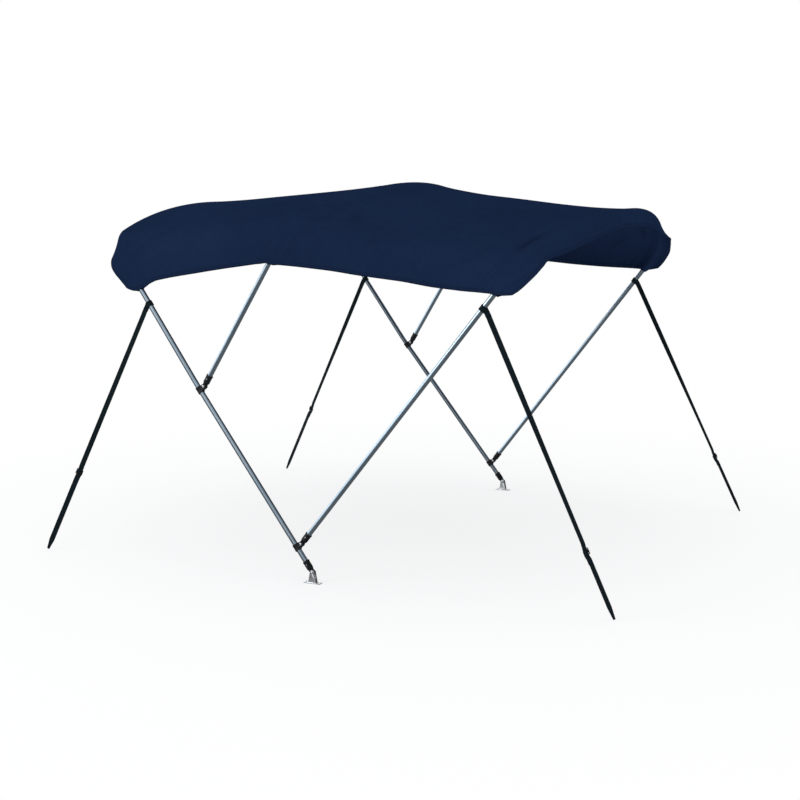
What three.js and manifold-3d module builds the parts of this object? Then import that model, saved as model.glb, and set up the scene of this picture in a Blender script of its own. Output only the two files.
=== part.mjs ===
// Three-bow bimini top. A navy cloth canopy is stretched over three bent tube bows. The main bow stands
// on two deck hinges and leans to -X. The front bow swings from a slide near the foot of the main bow
// and leans to +X, and the middle bow swings from a second slide higher up. Four webbing straps stay
// the frame to the deck. Millimetres, +Z up, the boat's sides at -Y and +Y, the deck at z = 0.
import * as THREE from 'three';
import { mergeVertices } from 'three/addons/utils/BufferGeometryUtils.js';
import Module from 'manifold-3d';

const wasm = await Module();
wasm.setup();

// Frame tube, 3/4 inch
const TUBE_RADIUS = 9.5;
const TUBE_SIDES = 12;

// Foot of the frame: where the two hinge bolts lie
const FOOT_X = 30;
const FOOT_HEIGHT = 38;
const FOOT_HALF_SPAN = 914;

// Main bow legs. They kink a little where the middle bow pushes on them.
const LOWER_LEG_LEAN = -37.57;
const LOW_SLIDE_DISTANCE = 106;
const HIGH_SLIDE_DISTANCE = 783;
const KNEE_DISTANCE = 812;
const KNEE_HALF_SPAN = 883;

// Bows, from -X to +X: lean of the legs from upright in degrees, height of the tube's axis at the crown,
// half width at the shoulders, bend radius of the shoulders, slope of the arch where a shoulder starts,
// and height of the canopy's hem at the leg
const BOW_TABLE = {
  main: { lean: -35.25, crown: 1320, half: 875, bend: 163, slope: 18.2, hem: 1043 },
  middle: { lean: 31.1, crown: 1398, half: 875, bend: 158, slope: 19.8, hem: 1121 },
  front: { lean: 38.1, crown: 1300, half: 866, bend: 166, slope: 26, hem: 1036 },
};

// Canopy cloth
const CLOTH = 1.5;
const CLOTH_CLEARANCE = 0.8;
const SEAM_GAP = 0.3;
const SKIRT_STEPS = 2;
const SHOULDER_STEPS = 7;
const CROWN_STEPS = 7;
const WRAP_STEPS = 3;
const TUBE_CONTACT = 9;
const RIDGE_DIP = 0.35;
const FLAP_LEAN = 0.14;
const TURN_LIFT = 0.5;
const FLAP_PLACES = [1, 0.72, 0.4];
const POCKET_STEPS = 3;
const POCKET_SLACK = 2;

// Panels between the bows: sag at the middle, and for each column of cloth its place between the two bows
// and how far the near and the far hem drop there below a straight line
const REAR_PANEL = {
  sag: 8,
  columns: [
    { place: 0.045, near: 29, far: 29 },
    { place: 0.075, near: 22, far: 22 },
    { place: 0.12, near: 14, far: 10 },
    { place: 0.16, near: 9, far: 3 },
    { place: 0.3, near: 4, far: -2 },
    { place: 0.45, near: 2, far: -4 },
    { place: 0.6, near: 0, far: -4 },
    { place: 0.75, near: -1, far: -4 },
    { place: 0.86, near: -1, far: -3 },
    { place: 0.925, near: -1, far: -2 },
    { place: 0.955, near: 0, far: -1 },
  ],
};
const FRONT_PANEL = {
  sag: 20,
  columns: [
    { place: 0.045, near: -3, far: 0 },
    { place: 0.075, near: -4, far: 2 },
    { place: 0.15, near: -6, far: 8 },
    { place: 0.28, near: -7, far: 15 },
    { place: 0.43, near: -3, far: 19 },
    { place: 0.6, near: -2, far: 18 },
    { place: 0.76, near: 5, far: 13 },
    { place: 0.87, near: 4, far: 7 },
    { place: 0.925, near: 2, far: 3 },
    { place: 0.955, near: 1, far: 1 },
  ],
};

// Flaps past the end bows: the lift of the flap's lower corner along the leg and how full the edge up to
// it is, how far the ear at the tube hangs below the hem and how far up these are felt. Then how far the
// near and far side reach at distances up the bow from the hem. The front flap goes on in the line of the
// cloth on the legs and shoulders and turns down to hang between two distances, its own on each side.
// The rear flap hangs all along.
const REAR_FLAP = {
  lift: 1.5,
  fullness: 2,
  ear: 34,
  fade: 70,
  turn: { near: [-2, -1], far: [-2, -1] },
  reach: [
    { up: 0, near: 42, far: 40 },
    { up: 30, near: 46, far: 43 },
    { up: 70, near: 53, far: 49 },
    { up: 110, near: 60, far: 53 },
    { up: 160, near: 62, far: 54 },
    { up: 190, near: 56, far: 50 },
    { up: 240, near: 44, far: 43 },
    { up: 300, near: 44, far: 44 },
    { up: 1100, near: 46, far: 46 },
  ],
};
const FRONT_FLAP = {
  lift: 45,
  fullness: 1.2,
  ear: 0,
  fade: 125,
  turn: { near: [40, 440], far: [60, 620] },
  reach: [
    { up: 0, near: 56, far: 44 },
    { up: 50, near: 68, far: 50 },
    { up: 88, near: 77, far: 53 },
    { up: 118, near: 80, far: 54 },
    { up: 160, near: 71, far: 47 },
    { up: 190, near: 58, far: 44 },
    { up: 215, near: 50, far: 43 },
    { up: 260, near: 46, far: 44 },
    { up: 340, near: 48, far: 48 },
    { up: 430, near: 54, far: 53 },
    { up: 560, near: 56, far: 56 },
    { up: 850, near: 58, far: 58 },
    { up: 1000, near: 60, far: 60 },
  ],
};

// Soft folds of the panels: the panel and side, the place of each fold at the hem and higher up, its half
// width as a part of the panel, its height out of the cloth and how far up it runs, 0 at the hem and 1 at
// the crown
const FOLD_TABLE = [
  { panel: 'front', side: -1, low: 0.9, high: 0.83, width: 0.07, height: 6, from: 0, to: 0.55 },
  { panel: 'front', side: -1, low: 0.74, high: 0.66, width: 0.1, height: -5, from: 0.05, to: 0.7 },
  { panel: 'front', side: 1, low: 0.9, high: 0.85, width: 0.07, height: 5, from: 0, to: 0.5 },
  { panel: 'front', side: 1, low: 0.3, high: 0.36, width: 0.12, height: -4, from: 0.05, to: 0.6 },
  { panel: 'rear', side: -1, low: 0.14, high: 0.2, width: 0.09, height: 4, from: 0, to: 0.5 },
  { panel: 'rear', side: -1, low: 0.8, high: 0.72, width: 0.12, height: -4, from: 0.05, to: 0.6 },
  { panel: 'rear', side: 1, low: 0.16, high: 0.22, width: 0.1, height: 4, from: 0, to: 0.5 },
];

// Nylon slides and eye ends
const BORE_RADIUS = 10;
const SLIDE_RADIUS = 13;
const SLIDE_LENGTH = 25;
const JAW_REACH = 22.5;
const JAW_GAP = 7;
const JAW_CHEEK = 4;
const JAW_RADIUS = 9.5;
const TONGUE = 6;
const TONGUE_RADIUS = 9;
const EYE_BORE_START = 19;
const EYE_LENGTH = 48;
const EYE_RADIUS = 11.9;
const EYE_COLLAR_RADIUS = 12.8;
const EYE_COLLAR_LENGTH = 5;
const SCREW_RADIUS = 2.3;
const SCREW_HOLE = 2.6;
const SCREW_LENGTH = 2.6;
const SCREW_PLACE = 33;

// Bolts and deck hinges
const BOLT_RADIUS = 3;
const BOLT_HOLE = 3.35;
const BOLT_HEAD_RADIUS = 5.2;
const BOLT_HEAD_HEIGHT = 2.4;
const BOLT_PLAY = 0.3;
const HINGE_LENGTH = 66;
const HINGE_WIDTH = 24;
const HINGE_PLATE = 2.5;
const HINGE_EAR = 3;
const HINGE_GAP = 7.6;
const HINGE_EAR_RADIUS = 9;
const HINGE_EAR_FOOT = 16;
const HINGE_HOLE_SPACING = 50;
const HINGE_HOLE_RADIUS = 2.6;

// Webbing straps
const WEB_WIDTH = 20;
const WEB_THICKNESS = 1.5;
const WEB_RING = 11.6;
const WEB_HALF_PLY = 0.9;
const WEB_JOIN = 34;
const WEB_TAIL = 16;
const WEB_SETTLE = 14;
const RING_STEPS = 10;
const LONG_STEPS = 10;
const SHORT_STEPS = 3;
const WEB_BEND_START = 5;
const WEB_BEND = 20;
const STRAP_TIP_WIDTH = 9;
const STRAP_TAPER = 42;
const ADJUSTER_LENGTH = 23;
const ADJUSTER_WIDTH = 27;
const ADJUSTER_THICKNESS = 2.6;
const ADJUSTER_BAR = 3.2;
const ADJUSTER_SLOT_WIDTH = 21;

// Each strap: the bow it hangs on, its side, where its loop sits on the leg, where it ends at the deck, the
// height of its adjuster, and the turn of the webbing on its way down in degrees
const STRAP_TABLE = [
  { name: 'rear_near', bow: 'main', side: -1, loop: 963, endX: -1133, endY: 924, adjuster: 315, turn: -14 },
  { name: 'rear_far', bow: 'main', side: 1, loop: 963, endX: -1133, endY: 924, adjuster: 318, turn: 28 },
  { name: 'front_near', bow: 'front', side: -1, loop: 990, endX: 1133, endY: 904, adjuster: 217, turn: 27 },
  { name: 'front_far', bow: 'front', side: 1, loop: 990, endX: 1133, endY: 904, adjuster: 240, turn: 42 },
];
const STRAP_END_HEIGHT = 4;

const NAVY = new THREE.MeshStandardMaterial({ color: 0x18263f, roughness: 0.85, metalness: 0 });
const NAVY_TAPE = new THREE.MeshStandardMaterial({ color: 0x121d33, roughness: 0.9, metalness: 0 });
const ALUMINIUM = new THREE.MeshStandardMaterial({ color: 0xb4bfc8, roughness: 0.3, metalness: 1 });
const STEEL = new THREE.MeshStandardMaterial({ color: 0xd6d9dc, roughness: 0.18, metalness: 1 });
const NYLON = new THREE.MeshStandardMaterial({ color: 0x0d1014, roughness: 0.45, metalness: 0 });
const WEBBING = new THREE.MeshStandardMaterial({ color: 0x101820, roughness: 0.8, metalness: 0 });

const UP = new THREE.Vector3(0, 0, 1);
const ACROSS = new THREE.Vector3(0, 1, 0);

const vec = (x, y, z) => new THREE.Vector3(x, y, z);
const radians = THREE.MathUtils.degToRad;
const lerp = THREE.MathUtils.lerp;

// A point moved along several directions: pairs of a direction and a distance
function moved(point, ...pairs) {
  const result = point.clone();
  for (const [direction, distance] of pairs) {
    result.addScaledVector(direction, distance);
  }
  return result;
}

// What is left of a direction after its part along an axis is taken out
function squaredTo(direction, axis) {
  return direction.clone().addScaledVector(axis, -direction.dot(axis)).normalize();
}

// Closed solid from vertex and triangle lists
function geometryOf(points, triangles) {
  const geometry = new THREE.BufferGeometry();
  geometry.setAttribute('position', new THREE.Float32BufferAttribute(points.flatMap((p) => p.toArray()), 3));
  geometry.setIndex(triangles.flat());
  geometry.computeVertexNormals();
  return geometry;
}

function toSolid(geometry) {
  const bare = geometry.clone();
  bare.deleteAttribute('normal');
  bare.deleteAttribute('uv');
  const merged = mergeVertices(bare, 1e-4);
  return new wasm.Manifold(new wasm.Mesh({
    numProp: 3,
    vertProperties: new Float32Array(merged.attributes.position.array),
    triVerts: new Uint32Array(merged.index.array),
  }));
}

function fromSolid(solid) {
  const mesh = solid.getMesh();
  const geometry = new THREE.BufferGeometry();
  geometry.setAttribute('position', new THREE.BufferAttribute(new Float32Array(mesh.vertProperties), 3));
  geometry.setIndex(new THREE.BufferAttribute(new Uint32Array(mesh.triVerts), 1));
  return geometry;
}

function joined(geometries) {
  return geometries.map(toSolid).reduce((whole, next) => whole.add(next));
}

function cut(solid, geometries) {
  return geometries.map(toSolid).reduce((whole, next) => whole.subtract(next), solid);
}

// Cylinder of a radius along local Z, or turned to lie along local Y
function rod(radius, length, sides, alongY = false) {
  const geometry = new THREE.CylinderGeometry(radius, radius, length, sides);
  return alongY ? geometry : geometry.rotateX(Math.PI / 2);
}

// Lathe about local Z from [radius, height] pairs
function turned(profile, sides) {
  const outline = profile.map(([radius, height]) => new THREE.Vector2(radius, height));
  return new THREE.LatheGeometry(outline, sides).rotateX(Math.PI / 2);
}

// Flat plate from a shape drawn in local X and Z, its thickness centred on a place along local Y
function plate(shape, thickness, place, curveSegments = 6) {
  const geometry = new THREE.ExtrudeGeometry(shape, { depth: thickness, bevelEnabled: false, curveSegments });
  return geometry.rotateX(Math.PI / 2).translate(0, place + thickness / 2, 0);
}

function roundHole(x, y, radius) {
  const hole = new THREE.Path();
  hole.absarc(x, y, radius, 0, Math.PI * 2, true);
  return hole;
}

function roundedRectangle(width, height, radius) {
  const shape = new THREE.Shape();
  const x = width / 2 - radius;
  const y = height / 2 - radius;
  shape.absarc(x, y, radius, 0, Math.PI / 2, false);
  shape.absarc(-x, y, radius, Math.PI / 2, Math.PI, false);
  shape.absarc(-x, -y, radius, Math.PI, Math.PI * 1.5, false);
  shape.absarc(x, -y, radius, Math.PI * 1.5, Math.PI * 2, false);
  return shape;
}

const group = new THREE.Group();

function addPiece(name, geometry, material) {
  const mesh = new THREE.Mesh(geometry, material);
  mesh.name = name;
  group.add(mesh);
  return mesh;
}

// Stands a piece at a point with its local Z along one direction and its local X near another
function standAt(mesh, origin, zAxis, nearX) {
  const yAxis = zAxis.clone().cross(nearX).normalize();
  const xAxis = yAxis.clone().cross(zAxis);
  mesh.position.copy(origin);
  mesh.quaternion.setFromRotationMatrix(new THREE.Matrix4().makeBasis(xAxis, yAxis, zAxis));
  return mesh;
}

// Bow geometry

function leanDirection(degrees) {
  return vec(Math.sin(radians(degrees)), 0, Math.cos(radians(degrees)));
}

// Direction at right angles to a lean, on its +X side
function sideDirection(degrees) {
  return vec(Math.cos(radians(degrees)), 0, -Math.sin(radians(degrees)));
}

// Completes a bow from its table row, from the x, z and half width of the place its legs start at
function makeBow(row, start) {
  const up = leanDirection(row.lean);
  const bendCentre = row.half - row.bend;
  const slope = radians(row.slope);
  const archRadius = row.bend + bendCentre / Math.sin(slope);
  const archDrop = archRadius * (1 - Math.cos(slope));
  const shoulderDrop = archDrop + row.bend * Math.cos(slope);
  const legLength = (row.crown - start.z) / up.z - shoulderDrop;
  const flare = Math.atan((start.half - row.half) / legLength);
  const crownX = start.x + (row.crown - start.z) * (up.x / up.z);
  return { ...row, start, up, bendCentre, slope, archRadius, archDrop, legLength, flare, crownX };
}

// Axis point, tangent towards +Y and outward normal of a bow at an angle from its crown: 0 at the crown,
// growing to the end of the shoulder on the side that is given
function archFrame(bow, angle, side) {
  const onArch = angle <= bow.slope;
  const y = onArch ? bow.archRadius * Math.sin(angle) : bow.bendCentre + bow.bend * Math.sin(angle);
  const drop = onArch
    ? bow.archRadius * (1 - Math.cos(angle))
    : bow.archDrop + bow.bend * (Math.cos(bow.slope) - Math.cos(angle));
  const crown = vec(bow.crownX, 0, bow.crown);
  return {
    point: moved(crown, [bow.up, -drop], [ACROSS, side * y]),
    tangent: moved(vec(0, 0, 0), [ACROSS, Math.cos(angle)], [bow.up, -side * Math.sin(angle)]),
    normal: moved(vec(0, 0, 0), [ACROSS, side * Math.sin(angle)], [bow.up, Math.cos(angle)]),
  };
}

// The same three on the straight leg, at a distance below the end of the shoulder
function legFrame(bow, below, side) {
  const frame = archFrame(bow, Math.PI / 2 - bow.flare, side);
  frame.point.addScaledVector(frame.tangent, side * below);
  return frame;
}

// Where a leg is at a height, with the unit vector that runs up the leg
function legAt(bow, height, side) {
  const top = legFrame(bow, 0, side);
  const axis = top.tangent.clone().multiplyScalar(-side);
  const point = moved(top.point, [axis, (height - top.point.z) / axis.z]);
  return { point, axis };
}

// Steps up the arch as parts of its slope, a little closer together near the shoulders
function archStep(i) {
  return (i / CROWN_STEPS) ** 0.85;
}

// Axis stations of the whole bow tube from the near foot to the far foot
function bowStations(bow, lowerEnds) {
  const half = [];
  for (let i = 0; i <= CROWN_STEPS; i += 1) {
    half.push(bow.slope * archStep(i));
  }
  const shoulderEnd = Math.PI / 2 - bow.flare;
  for (let i = 1; i <= SHOULDER_STEPS; i += 1) {
    half.push(lerp(bow.slope, shoulderEnd, i / SHOULDER_STEPS));
  }
  const farSide = half.map((angle) => archFrame(bow, angle, 1));
  const nearSide = half.slice(1).map((angle) => archFrame(bow, angle, -1)).reverse();
  return [...lowerEnds(-1).reverse(), ...nearSide, ...farSide, ...lowerEnds(1)];
}

// Curve through given stations, one station to a step
class StationCurve extends THREE.Curve {
  constructor(stations) {
    super();
    this.stations = stations;
  }

  between(t, key) {
    const place = THREE.MathUtils.clamp(t, 0, 1) * (this.stations.length - 1);
    const low = Math.min(Math.floor(place), this.stations.length - 2);
    return this.stations[low][key].clone().lerp(this.stations[low + 1][key], place - low);
  }

  getPoint(t, target = new THREE.Vector3()) {
    return target.copy(this.between(t, 'point'));
  }

  getTangent(t, target = new THREE.Vector3()) {
    return target.copy(this.between(t, 'tangent').normalize());
  }

  getUtoTmapping(u) {
    return u;
  }
}

function tubeAlong(stations) {
  const section = new THREE.Shape();
  for (let i = 0; i < TUBE_SIDES; i += 1) {
    const angle = (i / TUBE_SIDES) * Math.PI * 2;
    const corner = [TUBE_RADIUS * Math.cos(angle), TUBE_RADIUS * Math.sin(angle)];
    if (i === 0) {
      section.moveTo(...corner);
    } else {
      section.lineTo(...corner);
    }
  }
  section.closePath();
  const extrudePath = new StationCurve(stations);
  return new THREE.ExtrudeGeometry(section, { steps: stations.length - 1, extrudePath, bevelEnabled: false });
}

// The three bows and their pivots

const lowerUp = leanDirection(LOWER_LEG_LEAN);
const lowerSide = sideDirection(LOWER_LEG_LEAN);
const footPoint = vec(FOOT_X, 0, FOOT_HEIGHT);
const kneePoint = moved(footPoint, [lowerUp, KNEE_DISTANCE]);

const kneeStart = { x: kneePoint.x, z: kneePoint.z, half: KNEE_HALF_SPAN };
const mainBow = makeBow(BOW_TABLE.main, kneeStart);

// Axis of the lower leg on a side, running up, and the point at a distance from the foot bolt
function lowerLeg(distance, side) {
  const foot = vec(FOOT_X, side * FOOT_HALF_SPAN, FOOT_HEIGHT);
  const knee = vec(kneePoint.x, side * kneeStart.half, kneePoint.z);
  const axis = knee.clone().sub(foot).normalize();
  return { point: moved(foot, [axis, distance]), axis };
}

// Bolt of a slide: as far out from the leg as the jaws reach
function slidePivot(distance, side) {
  const leg = lowerLeg(distance, side);
  const out = squaredTo(lowerSide, leg.axis);
  return { ...leg, out, bolt: moved(leg.point, [out, JAW_REACH]) };
}

function startFromSlide(distance) {
  const { bolt } = slidePivot(distance, 1);
  return { x: bolt.x, z: bolt.z, half: bolt.y };
}

const middleBow = makeBow(BOW_TABLE.middle, startFromSlide(HIGH_SLIDE_DISTANCE));
const frontBow = makeBow(BOW_TABLE.front, startFromSlide(LOW_SLIDE_DISTANCE));

function mainLowerEnds(side) {
  const tubeEnd = lowerLeg(EYE_BORE_START + SEAM_GAP, side);
  const knee = lowerLeg(KNEE_DISTANCE, side);
  const top = legAt(mainBow, kneePoint.z, side);
  const downward = (axis) => axis.clone().multiplyScalar(-side);
  const kneeTangent = downward(knee.axis).add(downward(top.axis)).normalize();
  return [
    { point: knee.point, tangent: kneeTangent },
    { point: tubeEnd.point, tangent: downward(tubeEnd.axis) },
  ];
}

// Unit vector up a leg that starts at a bolt
function boltedLeg(bow, side) {
  const bolt = vec(bow.start.x, side * bow.start.half, bow.start.z);
  const axis = legFrame(bow, 0, side).point.sub(bolt).normalize();
  return { bolt, axis };
}

function boltedLowerEnds(bow) {
  return (side) => {
    const { bolt, axis } = boltedLeg(bow, side);
    const point = moved(bolt, [axis, EYE_BORE_START + SEAM_GAP]);
    return [{ point, tangent: axis.clone().multiplyScalar(-side) }];
  };
}

addPiece('bow_main', tubeAlong(bowStations(mainBow, mainLowerEnds)), ALUMINIUM);
addPiece('bow_middle', tubeAlong(bowStations(middleBow, boltedLowerEnds(middleBow))), ALUMINIUM);
addPiece('bow_front', tubeAlong(bowStations(frontBow, boltedLowerEnds(frontBow))), ALUMINIUM);

// Canopy and pockets

// Rows across the cloth from the near hem to the far hem
function clothRows() {
  const half = [];
  for (let i = SKIRT_STEPS; i > 0; i -= 1) {
    half.push({ zone: 'skirt', down: i / SKIRT_STEPS });
  }
  for (let i = SHOULDER_STEPS; i > 0; i -= 1) {
    half.push({ zone: 'shoulder', down: i / SHOULDER_STEPS });
  }
  for (let i = CROWN_STEPS; i > 0; i -= 1) {
    half.push({ zone: 'arch', down: archStep(i) });
  }
  const rises = half.map((row, i) => ({ ...row, rise: i / half.length }));
  const near = rises.map((row) => ({ ...row, side: -1 }));
  const far = rises.map((row) => ({ ...row, side: 1 })).reverse();
  return [...near, { zone: 'arch', down: 0, rise: 1, side: 1 }, ...far];
}

function frameAt(bow, row) {
  if (row.zone === 'arch') {
    return archFrame(bow, bow.slope * row.down, row.side);
  }
  if (row.zone === 'shoulder') {
    return archFrame(bow, lerp(bow.slope, Math.PI / 2 - bow.flare, row.down), row.side);
  }
  const top = legFrame(bow, 0, row.side);
  return legFrame(bow, ((top.point.z - bow.hem) / Math.abs(top.tangent.z)) * row.down, row.side);
}

// Distance up a bow from its hem to a row
function distanceUp(bow, row) {
  const shoulder = bow.bend * (Math.PI / 2 - bow.flare - bow.slope);
  const top = legFrame(bow, 0, row.side);
  const skirt = (top.point.z - bow.hem) / Math.abs(top.tangent.z);
  if (row.zone === 'skirt') {
    return skirt * (1 - row.down);
  }
  if (row.zone === 'shoulder') {
    return skirt + shoulder * (1 - row.down);
  }
  return skirt + shoulder + bow.archRadius * bow.slope * (1 - row.down);
}

// What is left of a change at the hem at a distance above it
function fadeUp(distance, end) {
  return Math.max(0, 1 - distance / end) ** 2;
}

// Value between the rows of a table, from its column for places and its column for values
function fromTable(table, place, at, value) {
  const next = table.findIndex((row) => row[at] > place);
  if (next <= 0) {
    return next === 0 ? table[0][value] : table.at(-1)[value];
  }
  const part = (place - table[next - 1][at]) / (table[next][at] - table[next - 1][at]);
  return lerp(table[next - 1][value], table[next][value], part);
}

// How far round from the crown a row lies, 0 at the crown and 1 on the legs
function sideways(frame) {
  return Math.abs(frame.normal.y);
}

// Outward normal of the cloth on a panel: upright at the crown, sideways on the legs
function panelNormal(frame, row, crownNormal) {
  const level = Math.sqrt(Math.max(0, 1 - sideways(frame) ** 2));
  const wanted = moved(vec(0, 0, 0), [crownNormal, level], [ACROSS, row.side * sideways(frame)]);
  return squaredTo(wanted, frame.tangent);
}

// Cloth over an end bow along one row: from the flap's edge round the tube to the panel. The outward
// direction is -1 for the main bow and +1 for the front bow.
function endBow(bow, flap, row, outward, panelUp) {
  const frame = frameAt(bow, row);
  const up = distanceUp(bow, row);
  const sideName = row.side < 0 ? 'near' : 'far';
  const inner = panelNormal(frame, row, panelUp);
  const hanging = THREE.MathUtils.smoothstep(up, ...flap.turn[sideName]);
  const outer = panelNormal(frame, row, panelUp.clone().lerp(vec(outward, 0, 0), hanging).normalize());
  const hang = frame.tangent.clone().cross(outer).multiplyScalar(outward);
  const legDown = frame.tangent.clone().multiplyScalar(row.side);
  const contact = TUBE_CONTACT * Math.max(1 - hanging, sideways(frame) ** 2);
  const radius = skinRadius + TURN_LIFT * 4 * hanging * (1 - hanging);
  const reach = fromTable(flap.reach, up, 'up', sideName);
  const fade = fadeUp(up, flap.fade);
  const base = moved(frame.point, [outer, radius]);
  const points = FLAP_PLACES.map((place) => moved(
    base,
    [hang, reach * place],
    [outer, reach * place * FLAP_LEAN],
    [legDown, fade * lerp(flap.ear, -flap.lift, place ** flap.fullness)],
  ));
  for (let i = 0; i <= WRAP_STEPS; i += 1) {
    const normal = outer.clone().lerp(inner, i / WRAP_STEPS).normalize();
    const aside = contact * (0.5 - i / WRAP_STEPS);
    points.push(moved(frame.point, [normal, radius], [hang, aside], [legDown, fade * flap.ear]));
  }
  const root = moved(frame.point, [inner, radius], [hang, -contact / 2]);
  return { points, frame, inner, outer, hang, legDown, fade, root, ear: flap.ear };
}

// Height of the soft folds at a place on a panel
function foldHeight(panel, row, place) {
  return FOLD_TABLE.filter((fold) => fold.panel === panel && fold.side === row.side).reduce((sum, fold) => {
    const along = THREE.MathUtils.clamp((row.rise - fold.from) / (fold.to - fold.from), 0, 1);
    const across = (place - lerp(fold.low, fold.high, along)) / fold.width;
    const ends = Math.sin(Math.PI * lerp(0.35, 1, along)) ** 2;
    const edges = Math.min(1, place * 8, (1 - place) * 8);
    return sum + fold.height * ends * edges * Math.exp(-across * across * 2);
  }, 0);
}

// Cloth of a panel along one row
function panelPoints(panel, name, row, from, to, end, middle) {
  const out = panelNormal(middle, row, UP);
  return panel.columns.map(({ place, near, far }) => {
    const drop = row.side < 0 ? near : far;
    const dip = panel.sag * (1 - (2 * place - 1) ** 4) * (1 - sideways(middle));
    return moved(
      from.clone().lerp(to, place),
      [UP, -dip],
      [out, foldHeight(name, row, place)],
      [end.legDown, end.fade * drop],
    );
  });
}

const rows = clothRows();
const skinRadius = TUBE_RADIUS + CLOTH_CLEARANCE + CLOTH / 2;
const rearUp = vec(-0.08, 0, 1).normalize();
const frontUp = vec(0.12, 0, 1).normalize();

const rearEdge = rows.map((row) => endBow(mainBow, REAR_FLAP, row, -1, rearUp));
const frontEdge = rows.map((row) => endBow(frontBow, FRONT_FLAP, row, 1, frontUp));

// Middle points of the cloth along one row, from the rear flap to the front flap
function canopyRow(row, i) {
  const middle = frameAt(middleBow, row);
  const rear = rearEdge[i];
  const front = frontEdge[i];
  const out = panelNormal(middle, row, UP);
  const along = middle.tangent.clone().cross(out);
  const ridge = [-1, 0, 1].map((place) => moved(
    middle.point,
    [out, skinRadius - RIDGE_DIP * Math.abs(place)],
    [along, (TUBE_CONTACT / 2) * place],
  ));
  return [
    ...rear.points,
    ...panelPoints(REAR_PANEL, 'rear', row, rear.root, ridge[0], rear, middle),
    ...ridge,
    ...panelPoints(FRONT_PANEL, 'front', row, ridge[2], front.root, front, middle),
    ...front.points.toReversed(),
  ];
}

// Unit normals of a grid of points, looking along columns x rows
function gridNormals(grid) {
  return grid.map((line, r) => line.map((_, c) => {
    const alongColumns = line[Math.min(c + 1, line.length - 1)].clone().sub(line[Math.max(c - 1, 0)]);
    const nextRow = grid[Math.min(r + 1, grid.length - 1)][c];
    const alongRows = nextRow.clone().sub(grid[Math.max(r - 1, 0)][c]);
    return alongColumns.cross(alongRows).normalize();
  }));
}

// Closed sheet of a thickness about a grid of middle points
function sheetOf(grid, thickness, normals = gridNormals(grid)) {
  const rowCount = grid.length;
  const columnCount = grid[0].length;
  const shifted = (distance) => grid.flatMap((line, r) => (
    line.map((p, c) => moved(p, [normals[r][c], distance]))
  ));
  const outer = shifted(thickness / 2);
  const inner = shifted(-thickness / 2);
  const under = outer.length;
  const at = (r, c) => r * columnCount + c;
  const triangles = [];
  const quad = (a, b, c, d) => triangles.push([a, b, c], [a, c, d]);
  for (let r = 0; r < rowCount - 1; r += 1) {
    for (let c = 0; c < columnCount - 1; c += 1) {
      quad(at(r, c), at(r, c + 1), at(r + 1, c + 1), at(r + 1, c));
      quad(under + at(r, c), under + at(r + 1, c), under + at(r + 1, c + 1), under + at(r, c + 1));
    }
  }
  const rim = [];
  for (let c = 0; c < columnCount - 1; c += 1) {
    rim.push(at(0, c));
  }
  for (let r = 0; r < rowCount - 1; r += 1) {
    rim.push(at(r, columnCount - 1));
  }
  for (let c = columnCount - 1; c > 0; c -= 1) {
    rim.push(at(rowCount - 1, c));
  }
  for (let r = rowCount - 1; r > 0; r -= 1) {
    rim.push(at(r, 0));
  }
  rim.forEach((a, i) => {
    const b = rim[(i + 1) % rim.length];
    quad(b, a, under + a, under + b);
  });
  return geometryOf([...outer, ...inner], triangles);
}

const canopyGrid = rows.map(canopyRow);
const canopyNormals = gridNormals(canopyGrid);
addPiece('canopy', sheetOf(canopyGrid, CLOTH, canopyNormals), NAVY);

// Place under the canopy at one of its grid points where a strip of cloth lies against it
function underCanopy(r, c) {
  return moved(canopyGrid[r][c], [canopyNormals[r][c], -(CLOTH + 1.5 * SEAM_GAP)]);
}

// Points round the under side of a tube, from one direction round through another square to it
function underTube(frame, from, through, start, end) {
  const points = [];
  for (let i = 0; i <= POCKET_STEPS; i += 1) {
    const angle = lerp(start, end, i / POCKET_STEPS);
    const radius = skinRadius + POCKET_SLACK;
    points.push(moved(frame.point, [from, radius * Math.cos(angle)], [through, radius * Math.sin(angle)]));
  }
  return points;
}

// First canopy column of each part
const rearPanelColumn = FLAP_PLACES.length + WRAP_STEPS + 1;
const ridgeColumn = rearPanelColumn + REAR_PANEL.columns.length;
const frontPanelColumn = ridgeColumn + 3;
const frontTubeColumn = frontPanelColumn + FRONT_PANEL.columns.length;
const lastColumn = canopyGrid[0].length - 1;

// Pocket of an end bow along one row: from the flap round under the tube to its seam on the panel
function endPocketRow(edge, r, flapColumns, panelColumns) {
  const leaving = Math.acos(THREE.MathUtils.clamp(-edge.inner.dot(edge.hang), -1, 1)) + radians(50);
  const tube = underTube(edge.frame, edge.hang, edge.outer.clone().negate(), 0, leaving);
  return [
    ...flapColumns.map((c) => underCanopy(r, c)),
    ...tube.map((p) => moved(p, [edge.legDown, edge.fade * edge.ear])),
    ...panelColumns.map((c) => underCanopy(r, c)),
  ];
}

const rearSeam = [rearPanelColumn, rearPanelColumn + 1];
const frontSeam = [frontTubeColumn - 1, frontTubeColumn - 2];
const frontFlap = [lastColumn - 1, lastColumn - 2];
const rearPocket = rearEdge.map((edge, r) => endPocketRow(edge, r, [1, 2], rearSeam));
const frontPocket = frontEdge.map((edge, r) => endPocketRow(edge, r, frontFlap, frontSeam));
const middlePocket = rows.map((row, r) => {
  const frame = frameAt(middleBow, row);
  const under = panelNormal(frame, row, UP).negate();
  const along = under.clone().cross(frame.tangent);
  return [
    underCanopy(r, ridgeColumn - 2),
    underCanopy(r, ridgeColumn - 1),
    ...underTube(frame, along.clone().negate(), under, radians(20), radians(160)),
    underCanopy(r, frontPanelColumn),
    underCanopy(r, frontPanelColumn + 1),
  ];
});

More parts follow.
